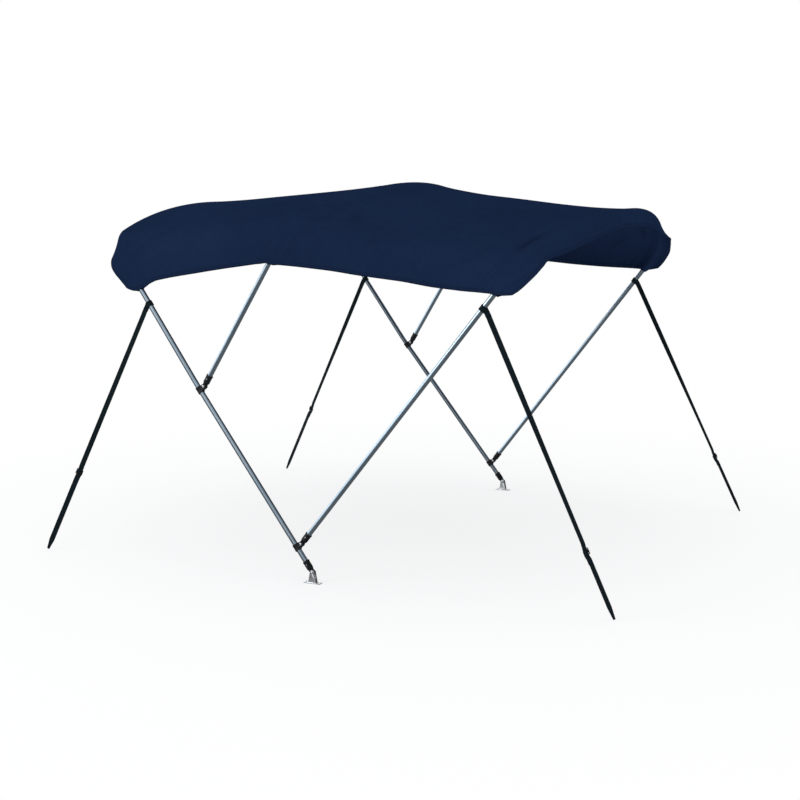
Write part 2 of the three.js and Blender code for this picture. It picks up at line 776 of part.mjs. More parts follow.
addPiece('pocket_rear', sheetOf(rearPocket, CLOTH), NAVY_TAPE);
addPiece('pocket_middle', sheetOf(middlePocket, CLOTH), NAVY_TAPE);
addPiece('pocket_front', sheetOf(frontPocket.map((line) => line.toReversed()), CLOTH), NAVY_TAPE);

// Nylon slides. Local Z runs up the leg and local X to the jaws.

function slideGeometry() {
  const cheekShape = new THREE.Shape();
  cheekShape.moveTo(0, -JAW_RADIUS);
  cheekShape.lineTo(JAW_REACH, -JAW_RADIUS);
  cheekShape.absarc(JAW_REACH, 0, JAW_RADIUS, -Math.PI / 2, Math.PI / 2, false);
  cheekShape.lineTo(0, JAW_RADIUS);
  cheekShape.closePath();
  cheekShape.holes.push(roundHole(JAW_REACH, 0, BOLT_HOLE));
  const cheekPlace = (JAW_GAP + JAW_CHEEK) / 2;
  const body = joined([
    rod(SLIDE_RADIUS, SLIDE_LENGTH, 20),
    plate(cheekShape, JAW_CHEEK, cheekPlace),
    plate(cheekShape, JAW_CHEEK, -cheekPlace),
  ]);
  return fromSolid(cut(body, [rod(BORE_RADIUS, SLIDE_LENGTH * 2, 20)]));
}

// Eye ends. Local Z runs from the bolt up the tube, and the bolt lies along local Y.
function eyeGeometry() {
  const collarStart = EYE_LENGTH - EYE_COLLAR_LENGTH;
  const socket = turned([
    [0, 13],
    [8, 13],
    [EYE_RADIUS, 17],
    [EYE_RADIUS, collarStart],
    [EYE_COLLAR_RADIUS, collarStart + 0.6],
    [EYE_COLLAR_RADIUS, EYE_LENGTH - 0.6],
    [EYE_COLLAR_RADIUS - 0.6, EYE_LENGTH],
    [0, EYE_LENGTH],
  ], 20);
  const tongueShape = new THREE.Shape();
  tongueShape.moveTo(TONGUE_RADIUS, EYE_BORE_START - 3);
  tongueShape.lineTo(-TONGUE_RADIUS, EYE_BORE_START - 3);
  tongueShape.absarc(0, 0, TONGUE_RADIUS, Math.PI, Math.PI * 2, false);
  tongueShape.holes.push(roundHole(0, 0, BOLT_HOLE));
  const bore = rod(BORE_RADIUS, EYE_LENGTH, 20).translate(0, 0, EYE_BORE_START + EYE_LENGTH / 2);
  const screwHole = rod(SCREW_HOLE, EYE_RADIUS, 10, true).translate(0, -EYE_RADIUS, SCREW_PLACE);
  return fromSolid(cut(joined([socket, plate(tongueShape, TONGUE, 0)]), [bore, screwHole]));
}

// Bolt with a domed head on each side of what it goes through, lying along local Y
function boltGeometry(grip) {
  const face = grip / 2 + BOLT_PLAY;
  const rim = face + BOLT_HEAD_HEIGHT;
  return turned([
    [0, -rim],
    [BOLT_HEAD_RADIUS * 0.6, -rim],
    [BOLT_HEAD_RADIUS, -rim + BOLT_HEAD_HEIGHT * 0.45],
    [BOLT_HEAD_RADIUS, -face],
    [BOLT_RADIUS, -face],
    [BOLT_RADIUS, face],
    [BOLT_HEAD_RADIUS, face],
    [BOLT_HEAD_RADIUS, rim - BOLT_HEAD_HEIGHT * 0.45],
    [BOLT_HEAD_RADIUS * 0.6, rim],
    [0, rim],
  ], 14).rotateX(Math.PI / 2);
}

// Set screw in the side of an eye end
function screwGeometry() {
  const start = EYE_RADIUS + 0.9 - SCREW_LENGTH;
  const head = rod(SCREW_RADIUS, SCREW_LENGTH, 10, true);
  return head.translate(0, -(start + SCREW_LENGTH / 2), SCREW_PLACE);
}

const slide = slideGeometry();
const eye = eyeGeometry();
const screw = screwGeometry();
const jawBolt = boltGeometry(JAW_GAP + 2 * JAW_CHEEK);
const hingeBolt = boltGeometry(HINGE_GAP + 2 * HINGE_EAR);

// Eye end and its set screw on a leg. The screw faces away from the boat's middle.
function addEye(name, bolt, axis, side) {
  const toward = vec(-side, 0, 0);
  standAt(addPiece('eye_' + name, eye, NYLON), bolt, axis, toward);
  standAt(addPiece('set_screw_' + name, screw, STEEL), bolt, axis, toward);
}

function addSlide(name, distance, bow, side) {
  const pivot = slidePivot(distance, side);
  const { bolt, axis } = boltedLeg(bow, side);
  standAt(addPiece('slide_' + name, slide, NYLON), pivot.point, pivot.axis, pivot.out);
  standAt(addPiece('bolt_' + name, jawBolt, STEEL), pivot.bolt, pivot.axis, pivot.out);
  addEye(name, bolt, axis, side);
}

// Deck hinges. Each stands flat on the deck with the bolt across the boat.
function hingeGeometry() {
  const settings = { depth: HINGE_PLATE, bevelEnabled: false, curveSegments: 5 };
  const base = new THREE.ExtrudeGeometry(hingePlateShape(), settings);
  const earShape = new THREE.Shape();
  earShape.moveTo(-HINGE_EAR_FOOT, HINGE_PLATE / 2);
  earShape.lineTo(HINGE_EAR_FOOT, HINGE_PLATE / 2);
  earShape.lineTo(HINGE_EAR_RADIUS, FOOT_HEIGHT);
  earShape.absarc(0, FOOT_HEIGHT, HINGE_EAR_RADIUS, 0, Math.PI, false);
  earShape.closePath();
  earShape.holes.push(roundHole(0, FOOT_HEIGHT, BOLT_HOLE));
  const place = (HINGE_GAP + HINGE_EAR) / 2;
  return fromSolid(joined([base, plate(earShape, HINGE_EAR, place), plate(earShape, HINGE_EAR, -place)]));
}

function hingePlateShape() {
  const shape = roundedRectangle(HINGE_LENGTH, HINGE_WIDTH, 4);
  for (const side of [-1, 1]) {
    shape.holes.push(roundHole((side * HINGE_HOLE_SPACING) / 2, 0, HINGE_HOLE_RADIUS));
  }
  return shape;
}

const hinge = hingeGeometry();

for (const [sideName, side] of [['near', -1], ['far', 1]]) {
  const foot = lowerLeg(0, side);
  addPiece('deck_hinge_' + sideName, hinge.clone().translate(FOOT_X, side * FOOT_HALF_SPAN, 0), STEEL);
  standAt(addPiece('bolt_foot_' + sideName, hingeBolt, STEEL), foot.point, UP, vec(1, 0, 0));
  addEye('foot_' + sideName, foot.point, foot.axis, side);
  addSlide('front_' + sideName, LOW_SLIDE_DISTANCE, frontBow, side);
  addSlide('middle_' + sideName, HIGH_SLIDE_DISTANCE, middleBow, side);
}

// Straps. Each is one length of webbing drawn in its own plane by distance down the strap and offset
// through its thickness, then laid along the line from its leg to the deck.

// Frame of the line a strap hangs on at a distance below the axis of its leg
function strapLine(row) {
  const bow = row.bow === 'main' ? mainBow : frontBow;
  const outward = row.bow === 'main' ? -1 : 1;
  const leg = legAt(bow, row.loop, row.side);
  const down = squaredTo(leg.axis.clone().cross(ACROSS).multiplyScalar(-outward), leg.axis);
  const knee = moved(leg.point, [down, WEB_BEND_START + WEB_BEND / 2]);
  const end = vec(row.endX, row.side * row.endY, STRAP_END_HEIGHT);
  const straight = end.clone().sub(knee);
  const length = WEB_BEND_START + WEB_BEND + straight.length() - WEB_BEND / 2;
  straight.normalize();
  const turn = radians(row.turn);
  const adjuster = length - (row.adjuster - STRAP_END_HEIGHT) / -straight.z;
  const straightEnd = adjuster - ADJUSTER_LENGTH;
  const at = (s) => {
    const part = THREE.MathUtils.clamp((s - WEB_BEND_START) / WEB_BEND, 0, 1);
    const tangent = down.clone().lerp(straight, part).normalize();
    const point = s < WEB_BEND_START
      ? moved(leg.point, [down, s])
      : moved(
        leg.point,
        [down, WEB_BEND_START + WEB_BEND * (part - (part * part) / 2)],
        [straight, (WEB_BEND * part * part) / 2 + Math.max(0, s - WEB_BEND_START - WEB_BEND)],
      );
    const twist = THREE.MathUtils.smootherstep(s, WEB_BEND_START, straightEnd) * turn;
    const wide = squaredTo(leg.axis, tangent).applyAxisAngle(tangent, twist);
    return { point, wide, out: wide.clone().cross(tangent) };
  };
  return { at, length, adjuster };
}

// Middle line of the webbing in its own plane, as pairs of distance down and offset: its sewn loop round
// the leg, the long ply, the weave through the adjuster, the fold at the deck, and the ply that comes back
// up round the adjuster's middle bar to its sewn end
function webbingPath(length, adjuster) {
  const ply = WEB_THICKNESS + SEAM_GAP;
  const against = ADJUSTER_THICKNESS / 2 + SEAM_GAP + WEB_THICKNESS / 2;
  const beside = ADJUSTER_BAR / 2 + SEAM_GAP + WEB_THICKNESS / 2;
  const clear = ADJUSTER_LENGTH / 2 + 3;
  const join = adjuster + clear + WEB_SETTLE;
  const split = adjuster - clear - WEB_SETTLE;
  const path = [[WEB_JOIN, -WEB_HALF_PLY], [WEB_RING * 1.5, -WEB_HALF_PLY]];
  for (let i = 0; i <= RING_STEPS; i += 1) {
    const angle = radians(lerp(-150, 150, i / RING_STEPS));
    path.push([-WEB_RING * Math.cos(angle), WEB_RING * Math.sin(angle)]);
  }
  path.push([WEB_RING * 1.5, WEB_HALF_PLY], [WEB_JOIN, WEB_HALF_PLY]);
  for (let i = 0; i <= LONG_STEPS; i += 1) {
    path.push([lerp(WEB_JOIN + WEB_SETTLE, split, i / LONG_STEPS), 0]);
  }
  path.push(
    [adjuster - clear, -against],
    [adjuster - beside - ply, -against],
    [adjuster - beside - ply, against + ply],
    [adjuster + beside + ply, against + ply],
    [adjuster + beside + ply, -against],
    [adjuster + clear, -against],
    [join, WEB_HALF_PLY],
  );
  for (let i = 1; i <= SHORT_STEPS; i += 1) {
    path.push([lerp(join, length - STRAP_TAPER, i / SHORT_STEPS), WEB_HALF_PLY]);
  }
  path.push(
    [length - 1.6, WEB_HALF_PLY],
    [length - 0.75, WEB_HALF_PLY / 2],
    [length - 0.75, -WEB_HALF_PLY / 2],
    [length - 1.6, -WEB_HALF_PLY],
  );
  for (let i = SHORT_STEPS; i >= 0; i -= 1) {
    path.push([lerp(join, length - STRAP_TAPER, i / SHORT_STEPS), -WEB_HALF_PLY]);
  }
  path.push(
    [adjuster + clear, -against - ply],
    [adjuster + beside, -against - ply],
    [adjuster + beside, against],
    [adjuster - beside, against],
    [adjuster - beside, -against - 2 * ply],
    [adjuster + clear, -against - 2 * ply],
    [join, -WEB_HALF_PLY - ply],
    [join + WEB_TAIL, -WEB_HALF_PLY - ply],
  );
  return path;
}

// Unit direction from one pair to another
function heading(from, to) {
  const length = Math.hypot(to[0] - from[0], to[1] - from[1]);
  return [(to[0] - from[0]) / length, (to[1] - from[1]) / length];
}

// Webbing solid from its middle line, with mitred corners
function webbing(path, line, widthAt) {
  const points = [];
  const triangles = [];
  path.forEach((here, i) => {
    const before = i > 0 ? heading(path[i - 1], here) : heading(here, path[i + 1]);
    const after = i < path.length - 1 ? heading(here, path[i + 1]) : before;
    const spread = (WEB_THICKNESS / 2) / (1 + before[0] * after[0] + before[1] * after[1]);
    const mitre = [-(before[1] + after[1]) * spread, (before[0] + after[0]) * spread];
    const half = widthAt(here[0]) / 2;
    for (const [side, wide] of [[1, -1], [-1, -1], [-1, 1], [1, 1]]) {
      const frame = line.at(here[0] + side * mitre[0]);
      points.push(moved(frame.point, [frame.out, here[1] + side * mitre[1]], [frame.wide, wide * half]));
    }
  });
  for (let i = 0; i < path.length - 1; i += 1) {
    for (let k = 0; k < 4; k += 1) {
      const a = i * 4 + k;
      const d = i * 4 + ((k + 1) % 4);
      triangles.push([a, a + 4, d + 4], [a, d + 4, d]);
    }
  }
  const last = (path.length - 1) * 4;
  triangles.push([0, 1, 2], [0, 2, 3], [last + 3, last + 2, last + 1], [last + 3, last + 1, last]);
  return geometryOf(points, triangles);
}

function adjusterShape() {
  const shape = roundedRectangle(ADJUSTER_WIDTH, ADJUSTER_LENGTH, 3);
  const slotLength = (ADJUSTER_LENGTH - 3 * ADJUSTER_BAR) / 2;
  for (const side of [-1, 1]) {
    const middle = (side * (ADJUSTER_BAR + slotLength)) / 2;
    const slot = new THREE.Path();
    slot.moveTo(-ADJUSTER_SLOT_WIDTH / 2, middle - slotLength / 2);
    slot.lineTo(-ADJUSTER_SLOT_WIDTH / 2, middle + slotLength / 2);
    slot.lineTo(ADJUSTER_SLOT_WIDTH / 2, middle + slotLength / 2);
    slot.lineTo(ADJUSTER_SLOT_WIDTH / 2, middle - slotLength / 2);
    slot.closePath();
    shape.holes.push(slot);
  }
  return shape;
}

for (const row of STRAP_TABLE) {
  const line = strapLine(row);
  const taperStart = line.length - STRAP_TAPER;
  const widthAt = (s) => {
    const part = THREE.MathUtils.clamp((s - taperStart) / STRAP_TAPER, 0, 1);
    return lerp(WEB_WIDTH, STRAP_TIP_WIDTH, part);
  };
  addPiece('strap_' + row.name, webbing(webbingPath(line.length, line.adjuster), line, widthAt), WEBBING);
  const held = line.at(line.adjuster);
  const tangent = held.out.clone().cross(held.wide);
  const adjuster = addPiece('adjuster_' + row.name, plate(adjusterShape(), ADJUSTER_THICKNESS, 0, 3), NYLON);
  standAt(adjuster, held.point, tangent, held.wide);
}

// The origin is the middle of the footprint, at the height of the deck
const middleOfAll = new THREE.Box3().setFromObject(group, true).getCenter(new THREE.Vector3());
group.position.set(-middleOfAll.x, -middleOfAll.y, 0);

export default group;
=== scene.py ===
import math

import bmesh
import bpy
import numpy as np
from mathutils import Matrix, Vector


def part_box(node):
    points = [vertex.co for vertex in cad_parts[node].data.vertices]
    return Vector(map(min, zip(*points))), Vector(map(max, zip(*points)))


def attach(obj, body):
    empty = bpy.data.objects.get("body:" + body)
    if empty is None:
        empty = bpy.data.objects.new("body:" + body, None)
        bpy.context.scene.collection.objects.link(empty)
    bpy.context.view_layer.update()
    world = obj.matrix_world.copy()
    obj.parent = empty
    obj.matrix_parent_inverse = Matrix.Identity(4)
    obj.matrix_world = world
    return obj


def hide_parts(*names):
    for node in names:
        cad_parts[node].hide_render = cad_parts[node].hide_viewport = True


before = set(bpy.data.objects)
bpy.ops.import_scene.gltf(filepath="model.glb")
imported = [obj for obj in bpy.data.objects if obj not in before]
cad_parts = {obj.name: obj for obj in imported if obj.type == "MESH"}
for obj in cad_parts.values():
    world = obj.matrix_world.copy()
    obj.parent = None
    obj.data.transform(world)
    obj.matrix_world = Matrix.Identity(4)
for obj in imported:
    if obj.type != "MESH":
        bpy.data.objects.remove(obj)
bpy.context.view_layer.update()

# Three-bow bimini top: a navy canopy sewn to its pockets over three bent aluminium bows, with nylon slides
# and eye ends, stainless bolts and deck hinges, and four webbing straps. Lengths are in millimetres up to
# the point where a mesh is made. +Z is up and the boat's sides are at -Y and +Y.
MM = 0.001
UP = np.array([0.0, 0.0, 1.0])
ACROSS = np.array([0.0, 1.0, 0.0])
FORWARD = np.array([1.0, 0.0, 0.0])

# Frame of bows
TUBE_RADIUS = 9.5
TUBE_SIDES = 32
FOOT_X = 30.0
FOOT_HEIGHT = 38.0
FOOT_HALF_SPAN = 914.0
LOWER_LEG_LEAN = -37.57
LOW_SLIDE_DISTANCE = 106.0
HIGH_SLIDE_DISTANCE = 783.0
KNEE_DISTANCE = 812.0
KNEE_HALF_SPAN = 883.0
KNEE_BLEND = 26.0
# Each bow: lean from upright in degrees, height of the crown, half span and bend of its shoulders, slope of
# the arch where it meets the bend in degrees, and height at which the cloth's hem crosses the leg
BOW_TABLE = {
    "main": {"lean": -35.25, "crown": 1320.0, "half": 875.0, "bend": 163.0, "slope": 18.2, "hem": 1043.0},
    "middle": {"lean": 31.1, "crown": 1398.0, "half": 875.0, "bend": 158.0, "slope": 19.8, "hem": 1121.0},
    "front": {"lean": 38.1, "crown": 1300.0, "half": 866.0, "bend": 166.0, "slope": 26.0, "hem": 1036.0},
}

# Canopy
CLOTH = 1.0
CAD_CLOTH = 1.5
CLOTH_CLEARANCE = 0.8
SKIN_RADIUS = TUBE_RADIUS + CLOTH_CLEARANCE + CAD_CLOTH / 2
TUBE_CONTACT = 9.0
RIDGE_DIP = 0.35
FLAP_LEAN = 0.14
TURN_LIFT = 0.5
SKIRT_ROWS = 6
SHOULDER_ROWS = 22
ARCH_ROWS = 36
# Parts of the way from hem to crown that the rows on the legs and on the shoulders stand for
SKIRT_RISE = 0.125
SHOULDER_RISE = 0.4375
ARCH_SPREAD = 0.85
HEM_WIDTH = 17.0
HEM_PLY = 0.85
HEM_ROLL = 0.12
RIM_ROLL = 0.35
STITCH_INSET = 14.4
STITCH_DIP = 0.3
# Rows next to a hem lie at these distances from it, and the next ones blend into the rows on the bows
HEM_DISTANCES = (0.0, 0.9, 5.0, 10.0, STITCH_INSET, 15.4, HEM_WIDTH, HEM_WIDTH + 0.9, 21.0, 25.0)
HEM_BLEND_ROWS = 8
HEM_BLEND_TO = 13
FLAP_COLUMNS = 6
WRAP_COLUMNS = 9
RIDGE_COLUMNS = 7
REAR_UP = (-0.08, 0.0, 1.0)
FRONT_UP = (0.12, 0.0, 1.0)

# Columns of a panel, as places between its two bows. Some lie exactly on the seams of the pockets.
SEAM_START = 0.045
SEAM_END = 0.075
END_PLACES = (0.012, 0.026, 0.038, SEAM_START, 0.05, 0.056, 0.064, 0.07, SEAM_END, 0.083)
PLACES = (*END_PLACES, *np.linspace(0.098, 0.902, 54), *(1 - p for p in reversed(END_PLACES)))
SEAM_COLUMNS = tuple(
    "%s_panel_%.3f" % (panel, place) for panel in ("rear", "front") for place in (0.05, 0.07, 0.93, 0.95)
)

# Panels between the bows: sag, and for places between the two bows how far the near and far hems drop
REAR_PANEL = {
    "sag": 8.0,
    "drops": (
        (0.0, 34, 34), (0.045, 29, 29), (0.075, 22, 22), (0.12, 14, 10), (0.16, 9, 3), (0.3, 4, -2),
        (0.45, 2, -4), (0.6, 0, -4), (0.75, -1, -4), (0.86, -1, -3), (0.925, -1, -2), (0.955, 0, -1),
        (1.0, 0, 0),
    ),
}
FRONT_PANEL = {
    "sag": 20.0,
    "drops": (
        (0.0, 0, 0), (0.045, -3, 0), (0.075, -4, 2), (0.15, -6, 8), (0.28, -7, 15), (0.43, -3, 19),
        (0.6, -2, 18), (0.76, 5, 13), (0.87, 4, 7), (0.925, 2, 3), (0.955, 1, 1), (1.0, 0, 0),
    ),
}

# Flaps past the end bows: how far the ear at the tube hangs below the hem, the lift of the flap's lower
# corner and how full the edge up to it is, how far up these are felt, and the distances up between which the
# near and the far side turn down to hang. Then how far the two sides reach at distances up from the hem.
REAR_FLAP = {
    "ear": 34.0, "lift": 1.5, "fullness": 2.0, "fade": 70.0,
    "turn_near": (-2.0, -1.0), "turn_far": (-2.0, -1.0),
    "reach": (
        (0, 42, 40), (30, 46, 43), (70, 53, 49), (110, 60, 53), (160, 62, 54), (190, 56, 50), (240, 44, 43),
        (300, 44, 44), (1100, 46, 46),
    ),
}
FRONT_FLAP = {
    "ear": 0.0, "lift": 45.0, "fullness": 1.2, "fade": 125.0,
    "turn_near": (40.0, 440.0), "turn_far": (60.0, 620.0),
    "reach": (
        (0, 56, 44), (50, 68, 50), (88, 77, 53), (118, 80, 54), (160, 71, 47), (190, 58, 44), (215, 50, 43),
        (260, 46, 44), (340, 48, 48), (430, 54, 53), (560, 56, 56), (850, 58, 58), (1000, 60, 60),
    ),
}

# Broad folds of the panels: panel, side, place at its lower and its upper end, half width, height, and the
# parts of the way up from the hem where it starts and ends
FOLD_TABLE = (
    ("front", -1, 0.9, 0.83, 0.07, 6.0, 0.0, 0.55),
    ("front", -1, 0.74, 0.66, 0.1, -5.0, 0.05, 0.7),
    ("front", 1, 0.9, 0.85, 0.07, 5.0, 0.0, 0.5),
    ("front", 1, 0.3, 0.36, 0.12, -4.0, 0.05, 0.6),
    ("rear", -1, 0.14, 0.2, 0.09, 4.0, 0.0, 0.5),
    ("rear", -1, 0.8, 0.72, 0.12, -4.0, 0.05, 0.6),
    ("rear", 1, 0.16, 0.22, 0.1, 4.0, 0.0, 0.5),
)

# Creases given one by one: side, points as distance along the boat from the middle bow and distance up from
# the hem, half width and height
CREASES = (
    (-1, ((819, 203), (798, 257), (795, 302), (803, 345), (801, 412)), 15.0, -7.5),
    (-1, ((890, 44), (893, 62), (898, 84), (904, 118)), 8.0, -3.4),
    (-1, ((-445, 262), (-423, 275), (-365, 294), (-335, 300)), 13.0, 3.4),
    (-1, ((-140, 312), (-66, 325), (-36, 372)), 12.0, 2.8),
    (-1, ((112, 350), (190, 250)), 18.0, -3.6),
    (-1, ((-8, 40), (6, 90)), 9.0, 1.8),
    (-1, ((296, 152), (340, 136)), 14.0, -2.6),
    (-1, ((620, 60), (690, 150), (720, 260)), 34.0, -1.5),
    (-1, ((-620, 90), (-560, 200), (-545, 320)), 34.0, -1.8),
    (1, ((810, 190), (792, 300), (800, 420)), 16.0, -6.0),
    (1, ((640, 70), (700, 190), (712, 300)), 34.0, -3.8),
    (1, ((-600, 80), (-560, 210)), 34.0, -3.6),
    (1, ((-150, 300), (-60, 330), (-20, 380)), 14.0, 2.6),
    (1, ((130, 340), (210, 240)), 18.0, -3.0),
    (1, ((350, 60), (420, 150), (430, 240)), 28.0, 2.8),
)

# Unevenness of the cloth: mean period, phase, height and reach of its ripples
BROAD_WAVES = ((370.0, 1.3), (520.0, 0.4), 1.8)
HEM_PUCKER = (46.0, 2.2, 0.55, 26.0)
FLAP_PUCKER = (52.0, 0.9, 0.5, 14.0)
SEAM_PUCKER = (38.0, 1.0, 0.38, 22.0)
SEAM_PHASE_STEP = 0.7
SEAM_DIP = (0.45, 3.5)

# Sewing: pitch, length and radius of the stitches in cloth and in webbing
STITCH_PITCH = 5.0
STITCH_LENGTH = 3.5
THREAD_RADIUS = 0.32
WEB_STITCH_PITCH = 3.0
WEB_STITCH_LENGTH = 2.2
WEB_THREAD_RADIUS = 0.3

# Weaves, in metres
THREAD_PITCH = 0.00055
YARN_PITCH = 0.0011
YARN_STEP = 0.0013

# Pockets
POCKET_SLACK = 2.0
POCKET_GAP = 0.15
POCKET_ARC_COLUMNS = 14
POCKET_BRIDGE_COLUMNS = 4
POCKET_SMOOTHINGS = 5
POCKET_TUBE_GAP = 0.35
END_POCKET_OVERTURN = 50.0
MIDDLE_POCKET_TURN = (20.0, 160.0)

# Fittings
BORE_RADIUS = 10.0
SLIDE_RADIUS = 13.0
SLIDE_LENGTH = 25.0
JAW_REACH = 22.5
JAW_GAP = 7.0
JAW_CHEEK = 4.0
JAW_RADIUS = 9.5
TONGUE = 6.0
TONGUE_RADIUS = 9.0
EYE_BORE_START = 19.0
EYE_LENGTH = 48.0
EYE_RADIUS = 11.9
EYE_COLLAR_RADIUS = 12.8
EYE_COLLAR_LENGTH = 5.0
SCREW_RADIUS = 2.3
SCREW_HOLE = 2.6
SCREW_LENGTH = 2.6
SCREW_PLACE = 33.0
SCREW_SOCKET_RADIUS = 1.2
BOLT_RADIUS = 3.0
BOLT_HOLE = 3.35
BOLT_HEAD_RADIUS = 5.2
BOLT_HEAD_HEIGHT = 2.4
BOLT_PLAY = 0.3
HEX_SOCKET_RADIUS = 2.3
HINGE_LENGTH = 66.0
HINGE_WIDTH = 24.0
HINGE_PLATE = 2.5
HINGE_EAR = 3.0
HINGE_GAP = 7.6
HINGE_EAR_RADIUS = 9.0
HINGE_EAR_FOOT = 16.0
HINGE_HOLE_SPACING = 50.0
HINGE_HOLE_RADIUS = 2.6
HINGE_SINK_RADIUS = 4.6
SEAM_GAP = 0.3

# Straps
WEB_WIDTH = 20.0
WEB_THICKNESS = 1.5
WEB_RING = 11.6
WEB_HALF_PLY = 0.9
WEB_JOIN = 34.0
WEB_TAIL = 16.0
WEB_SETTLE = 14.0
WEB_BEND_START = 5.0
WEB_BEND = 20.0
STRAP_TIP_WIDTH = 9.0
STRAP_TAPER = 42.0
STRAP_END_HEIGHT = 4.0
ADJUSTER_LENGTH = 23.0
ADJUSTER_WIDTH = 27.0
ADJUSTER_THICKNESS = 2.6
ADJUSTER_BAR = 3.2
ADJUSTER_SLOT_WIDTH = 21.0
ADJUSTER_CLEAR = 3.0
BACK_UV_SHIFT = 0.03
# Outline of the webbing, as parts of its half width and half thickness
WEB_SECTION = (
    (-0.97, 1.0), (-0.5, 1.0), (0.0, 1.0), (0.5, 1.0), (0.97, 1.0), (1.0, 0.5), (1.0, -0.5),
    (0.97, -1.0), (0.5, -1.0), (0.0, -1.0), (-0.5, -1.0), (-0.97, -1.0), (-1.0, -0.5), (-1.0, 0.5),
)
# Lengths of the webbing in metres
# Each strap: its bow and side, height of its loop on the leg, x and half span of its end at the deck,
# height of its adjuster, and turn of the webbing on its way down in degrees
STRAP_TABLE = (
    ("rear_near", "main", -1, 963.0, -1133.0, 924.0, 315.0, -14.0),
    ("rear_far", "main", 1, 963.0, -1133.0, 924.0, 318.0, 28.0),
    ("front_near", "front", -1, 990.0, 1133.0, 904.0, 217.0, 27.0),
    ("front_far", "front", 1, 990.0, 1133.0, 904.0, 240.0, 42.0),
)

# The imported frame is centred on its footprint; the near hinge says by how much
hinge_low, hinge_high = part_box("deck_hinge_near")
SHIFT = np.array([
    (hinge_low[0] + hinge_high[0]) / 2 / MM - FOOT_X,
    (hinge_low[1] + hinge_high[1]) / 2 / MM + FOOT_HALF_SPAN,
    0.0,
])

# Camera
CAMERA_PLACE = (2.4798, -5.3351, 1.3646)
CAMERA_TURN = 25.5
CAMERA_PITCH = 8.02
CAMERA_LENS = 65.92
SENSOR_WIDTH = 36.0

# Floor, background and light. A room is the side its light comes from, the point of the sweep at which it is
# darkest, and its darkest and brightest strength. Dull surfaces see one room and glossy ones another.
FLOOR_SIZE = 60.0
FLOOR_COLOUR = (0.86, 0.87, 0.88, 1.0)
FLOOR_FADE = (1.0, 3.2)
FLOOR_GLOW = 0.74
FLOOR_DROP = 0.0005
BACKGROUND = (1.0, 1.0, 1.0, 1.0)
ROOM = (0.97, 0.985, 1.0, 1.0)
DULL_ROOM = ((0.6, -0.78, 0.1), -1.0, 0.66, 1.3)
GLOSSY_ROOM = ((-0.76, -0.12, 0.64), -0.3, 0.07, 2.1)
GLOSSY_FLOOR = 0.22
KEY_PLACE = (-4.2, -4.6, 3.6)
KEY_TARGET = (0.0, -0.3, 0.9)
KEY_SIZE = 2.4
KEY_POWER = 90.0


# ---- Small helpers ----

def unit(a):
    a = np.asarray(a, float)
    return a / np.linalg.norm(a, axis=-1, keepdims=True)


def lerp(a, b, t):
    return a + (b - a) * t


def dot(a, b):
    return (a * b).sum(axis=-1, keepdims=True)


def squared_to(direction, axis):
    return unit(direction - axis * dot(direction, axis))


def smoothstep(x, low, high):
    t = np.clip((x - low) / (high - low), 0.0, 1.0)
    return t * t * (3 - 2 * t)


def smootherstep(x, low, high):
    t = np.clip((x - low) / (high - low), 0.0, 1.0)
    return t * t * t * (t * (t * 6 - 15) + 10)


def soft_table(places, values, at):
    """Monotone curve through the rows of a table."""
    places, values = np.asarray(places, float), np.asarray(values, float)
    rise = np.diff(values) / np.diff(places)
    slope = np.zeros_like(values)
    for i in range(1, len(values) - 1):
        if rise[i - 1] * rise[i] > 0:
            slope[i] = 2 * rise[i - 1] * rise[i] / (rise[i - 1] + rise[i])
    at = np.clip(at, places[0], places[-1])
    i = np.clip(np.searchsorted(places, at, side="right") - 1, 0, len(rise) - 1)
    width = places[i + 1] - places[i]
    t = (at - places[i]) / width
    return (
        (2 * t**3 - 3 * t**2 + 1) * values[i]
        + (t**3 - 2 * t**2 + t) * width * slope[i]
        + (3 * t**2 - 2 * t**3) * values[i + 1]
        + (t**3 - t**2) * width * slope[i + 1]
    )


def bell(x, width):
    return np.exp(-((x / width) ** 2) * 2)


def run_of(line):
    """Distance along a polyline at each of its points."""
    return np.concatenate([[0], np.cumsum(np.linalg.norm(np.diff(line, axis=0), axis=1))])


def by_side(table, at):
    """Curve through a table's second column on the near side and through its third on the far side."""
    place, near, far = np.array(table, float).T
    return np.where(SIDE < 0, soft_table(place, near, at), soft_table(place, far, at))


def corner_curve(start, corner, end, steps):
    """Points of a curve that leaves for a corner and arrives from it."""
    return [(1 - t) ** 2 * start + 2 * t * (1 - t) * corner + t * t * end for t in steps]


def ring_faces(rings, count):
    """Faces of a closed skin over rings of a number of points each, with both ends closed."""
    faces = []
    for i in range(rings - 1):
        for k in range(count):
            a, b = i * count + k, i * count + (k + 1) % count
            faces.append((a, b, b + count, a + count))
    return [*faces, tuple(range(count))[::-1], tuple(range((rings - 1) * count, rings * count))]


def in_frame(points):
    """Millimetres in the drawing's own frame to metres in the row frame."""
    return (np.asarray(points, float) + SHIFT) * MM


def mesh_object(name, points, faces, uv=None, weights=None):
    """Object from points in metres. uv has one pair for each point, and weights named numbers for each."""
    mesh = bpy.data.meshes.new(name)
    mesh.from_pydata([tuple(p) for p in points], [], [tuple(int(i) for i in f) for f in faces])
    if uv is not None:
        layer = mesh.uv_layers.new(name="UVMap")
        index = np.zeros(len(mesh.loops), np.int32)
        mesh.loops.foreach_get("vertex_index", index)
        layer.data.foreach_set("uv", np.asarray(uv, np.float32)[index].ravel())
    for key, values in (weights or {}).items():
        attribute = mesh.attributes.new(key, "FLOAT", "POINT")
        attribute.data.foreach_set("value", np.asarray(values, np.float32))
    mesh.polygons.foreach_set("use_smooth", [True] * len(mesh.polygons))
    mesh.validate()
    mesh.update()
    return linked(name, mesh)


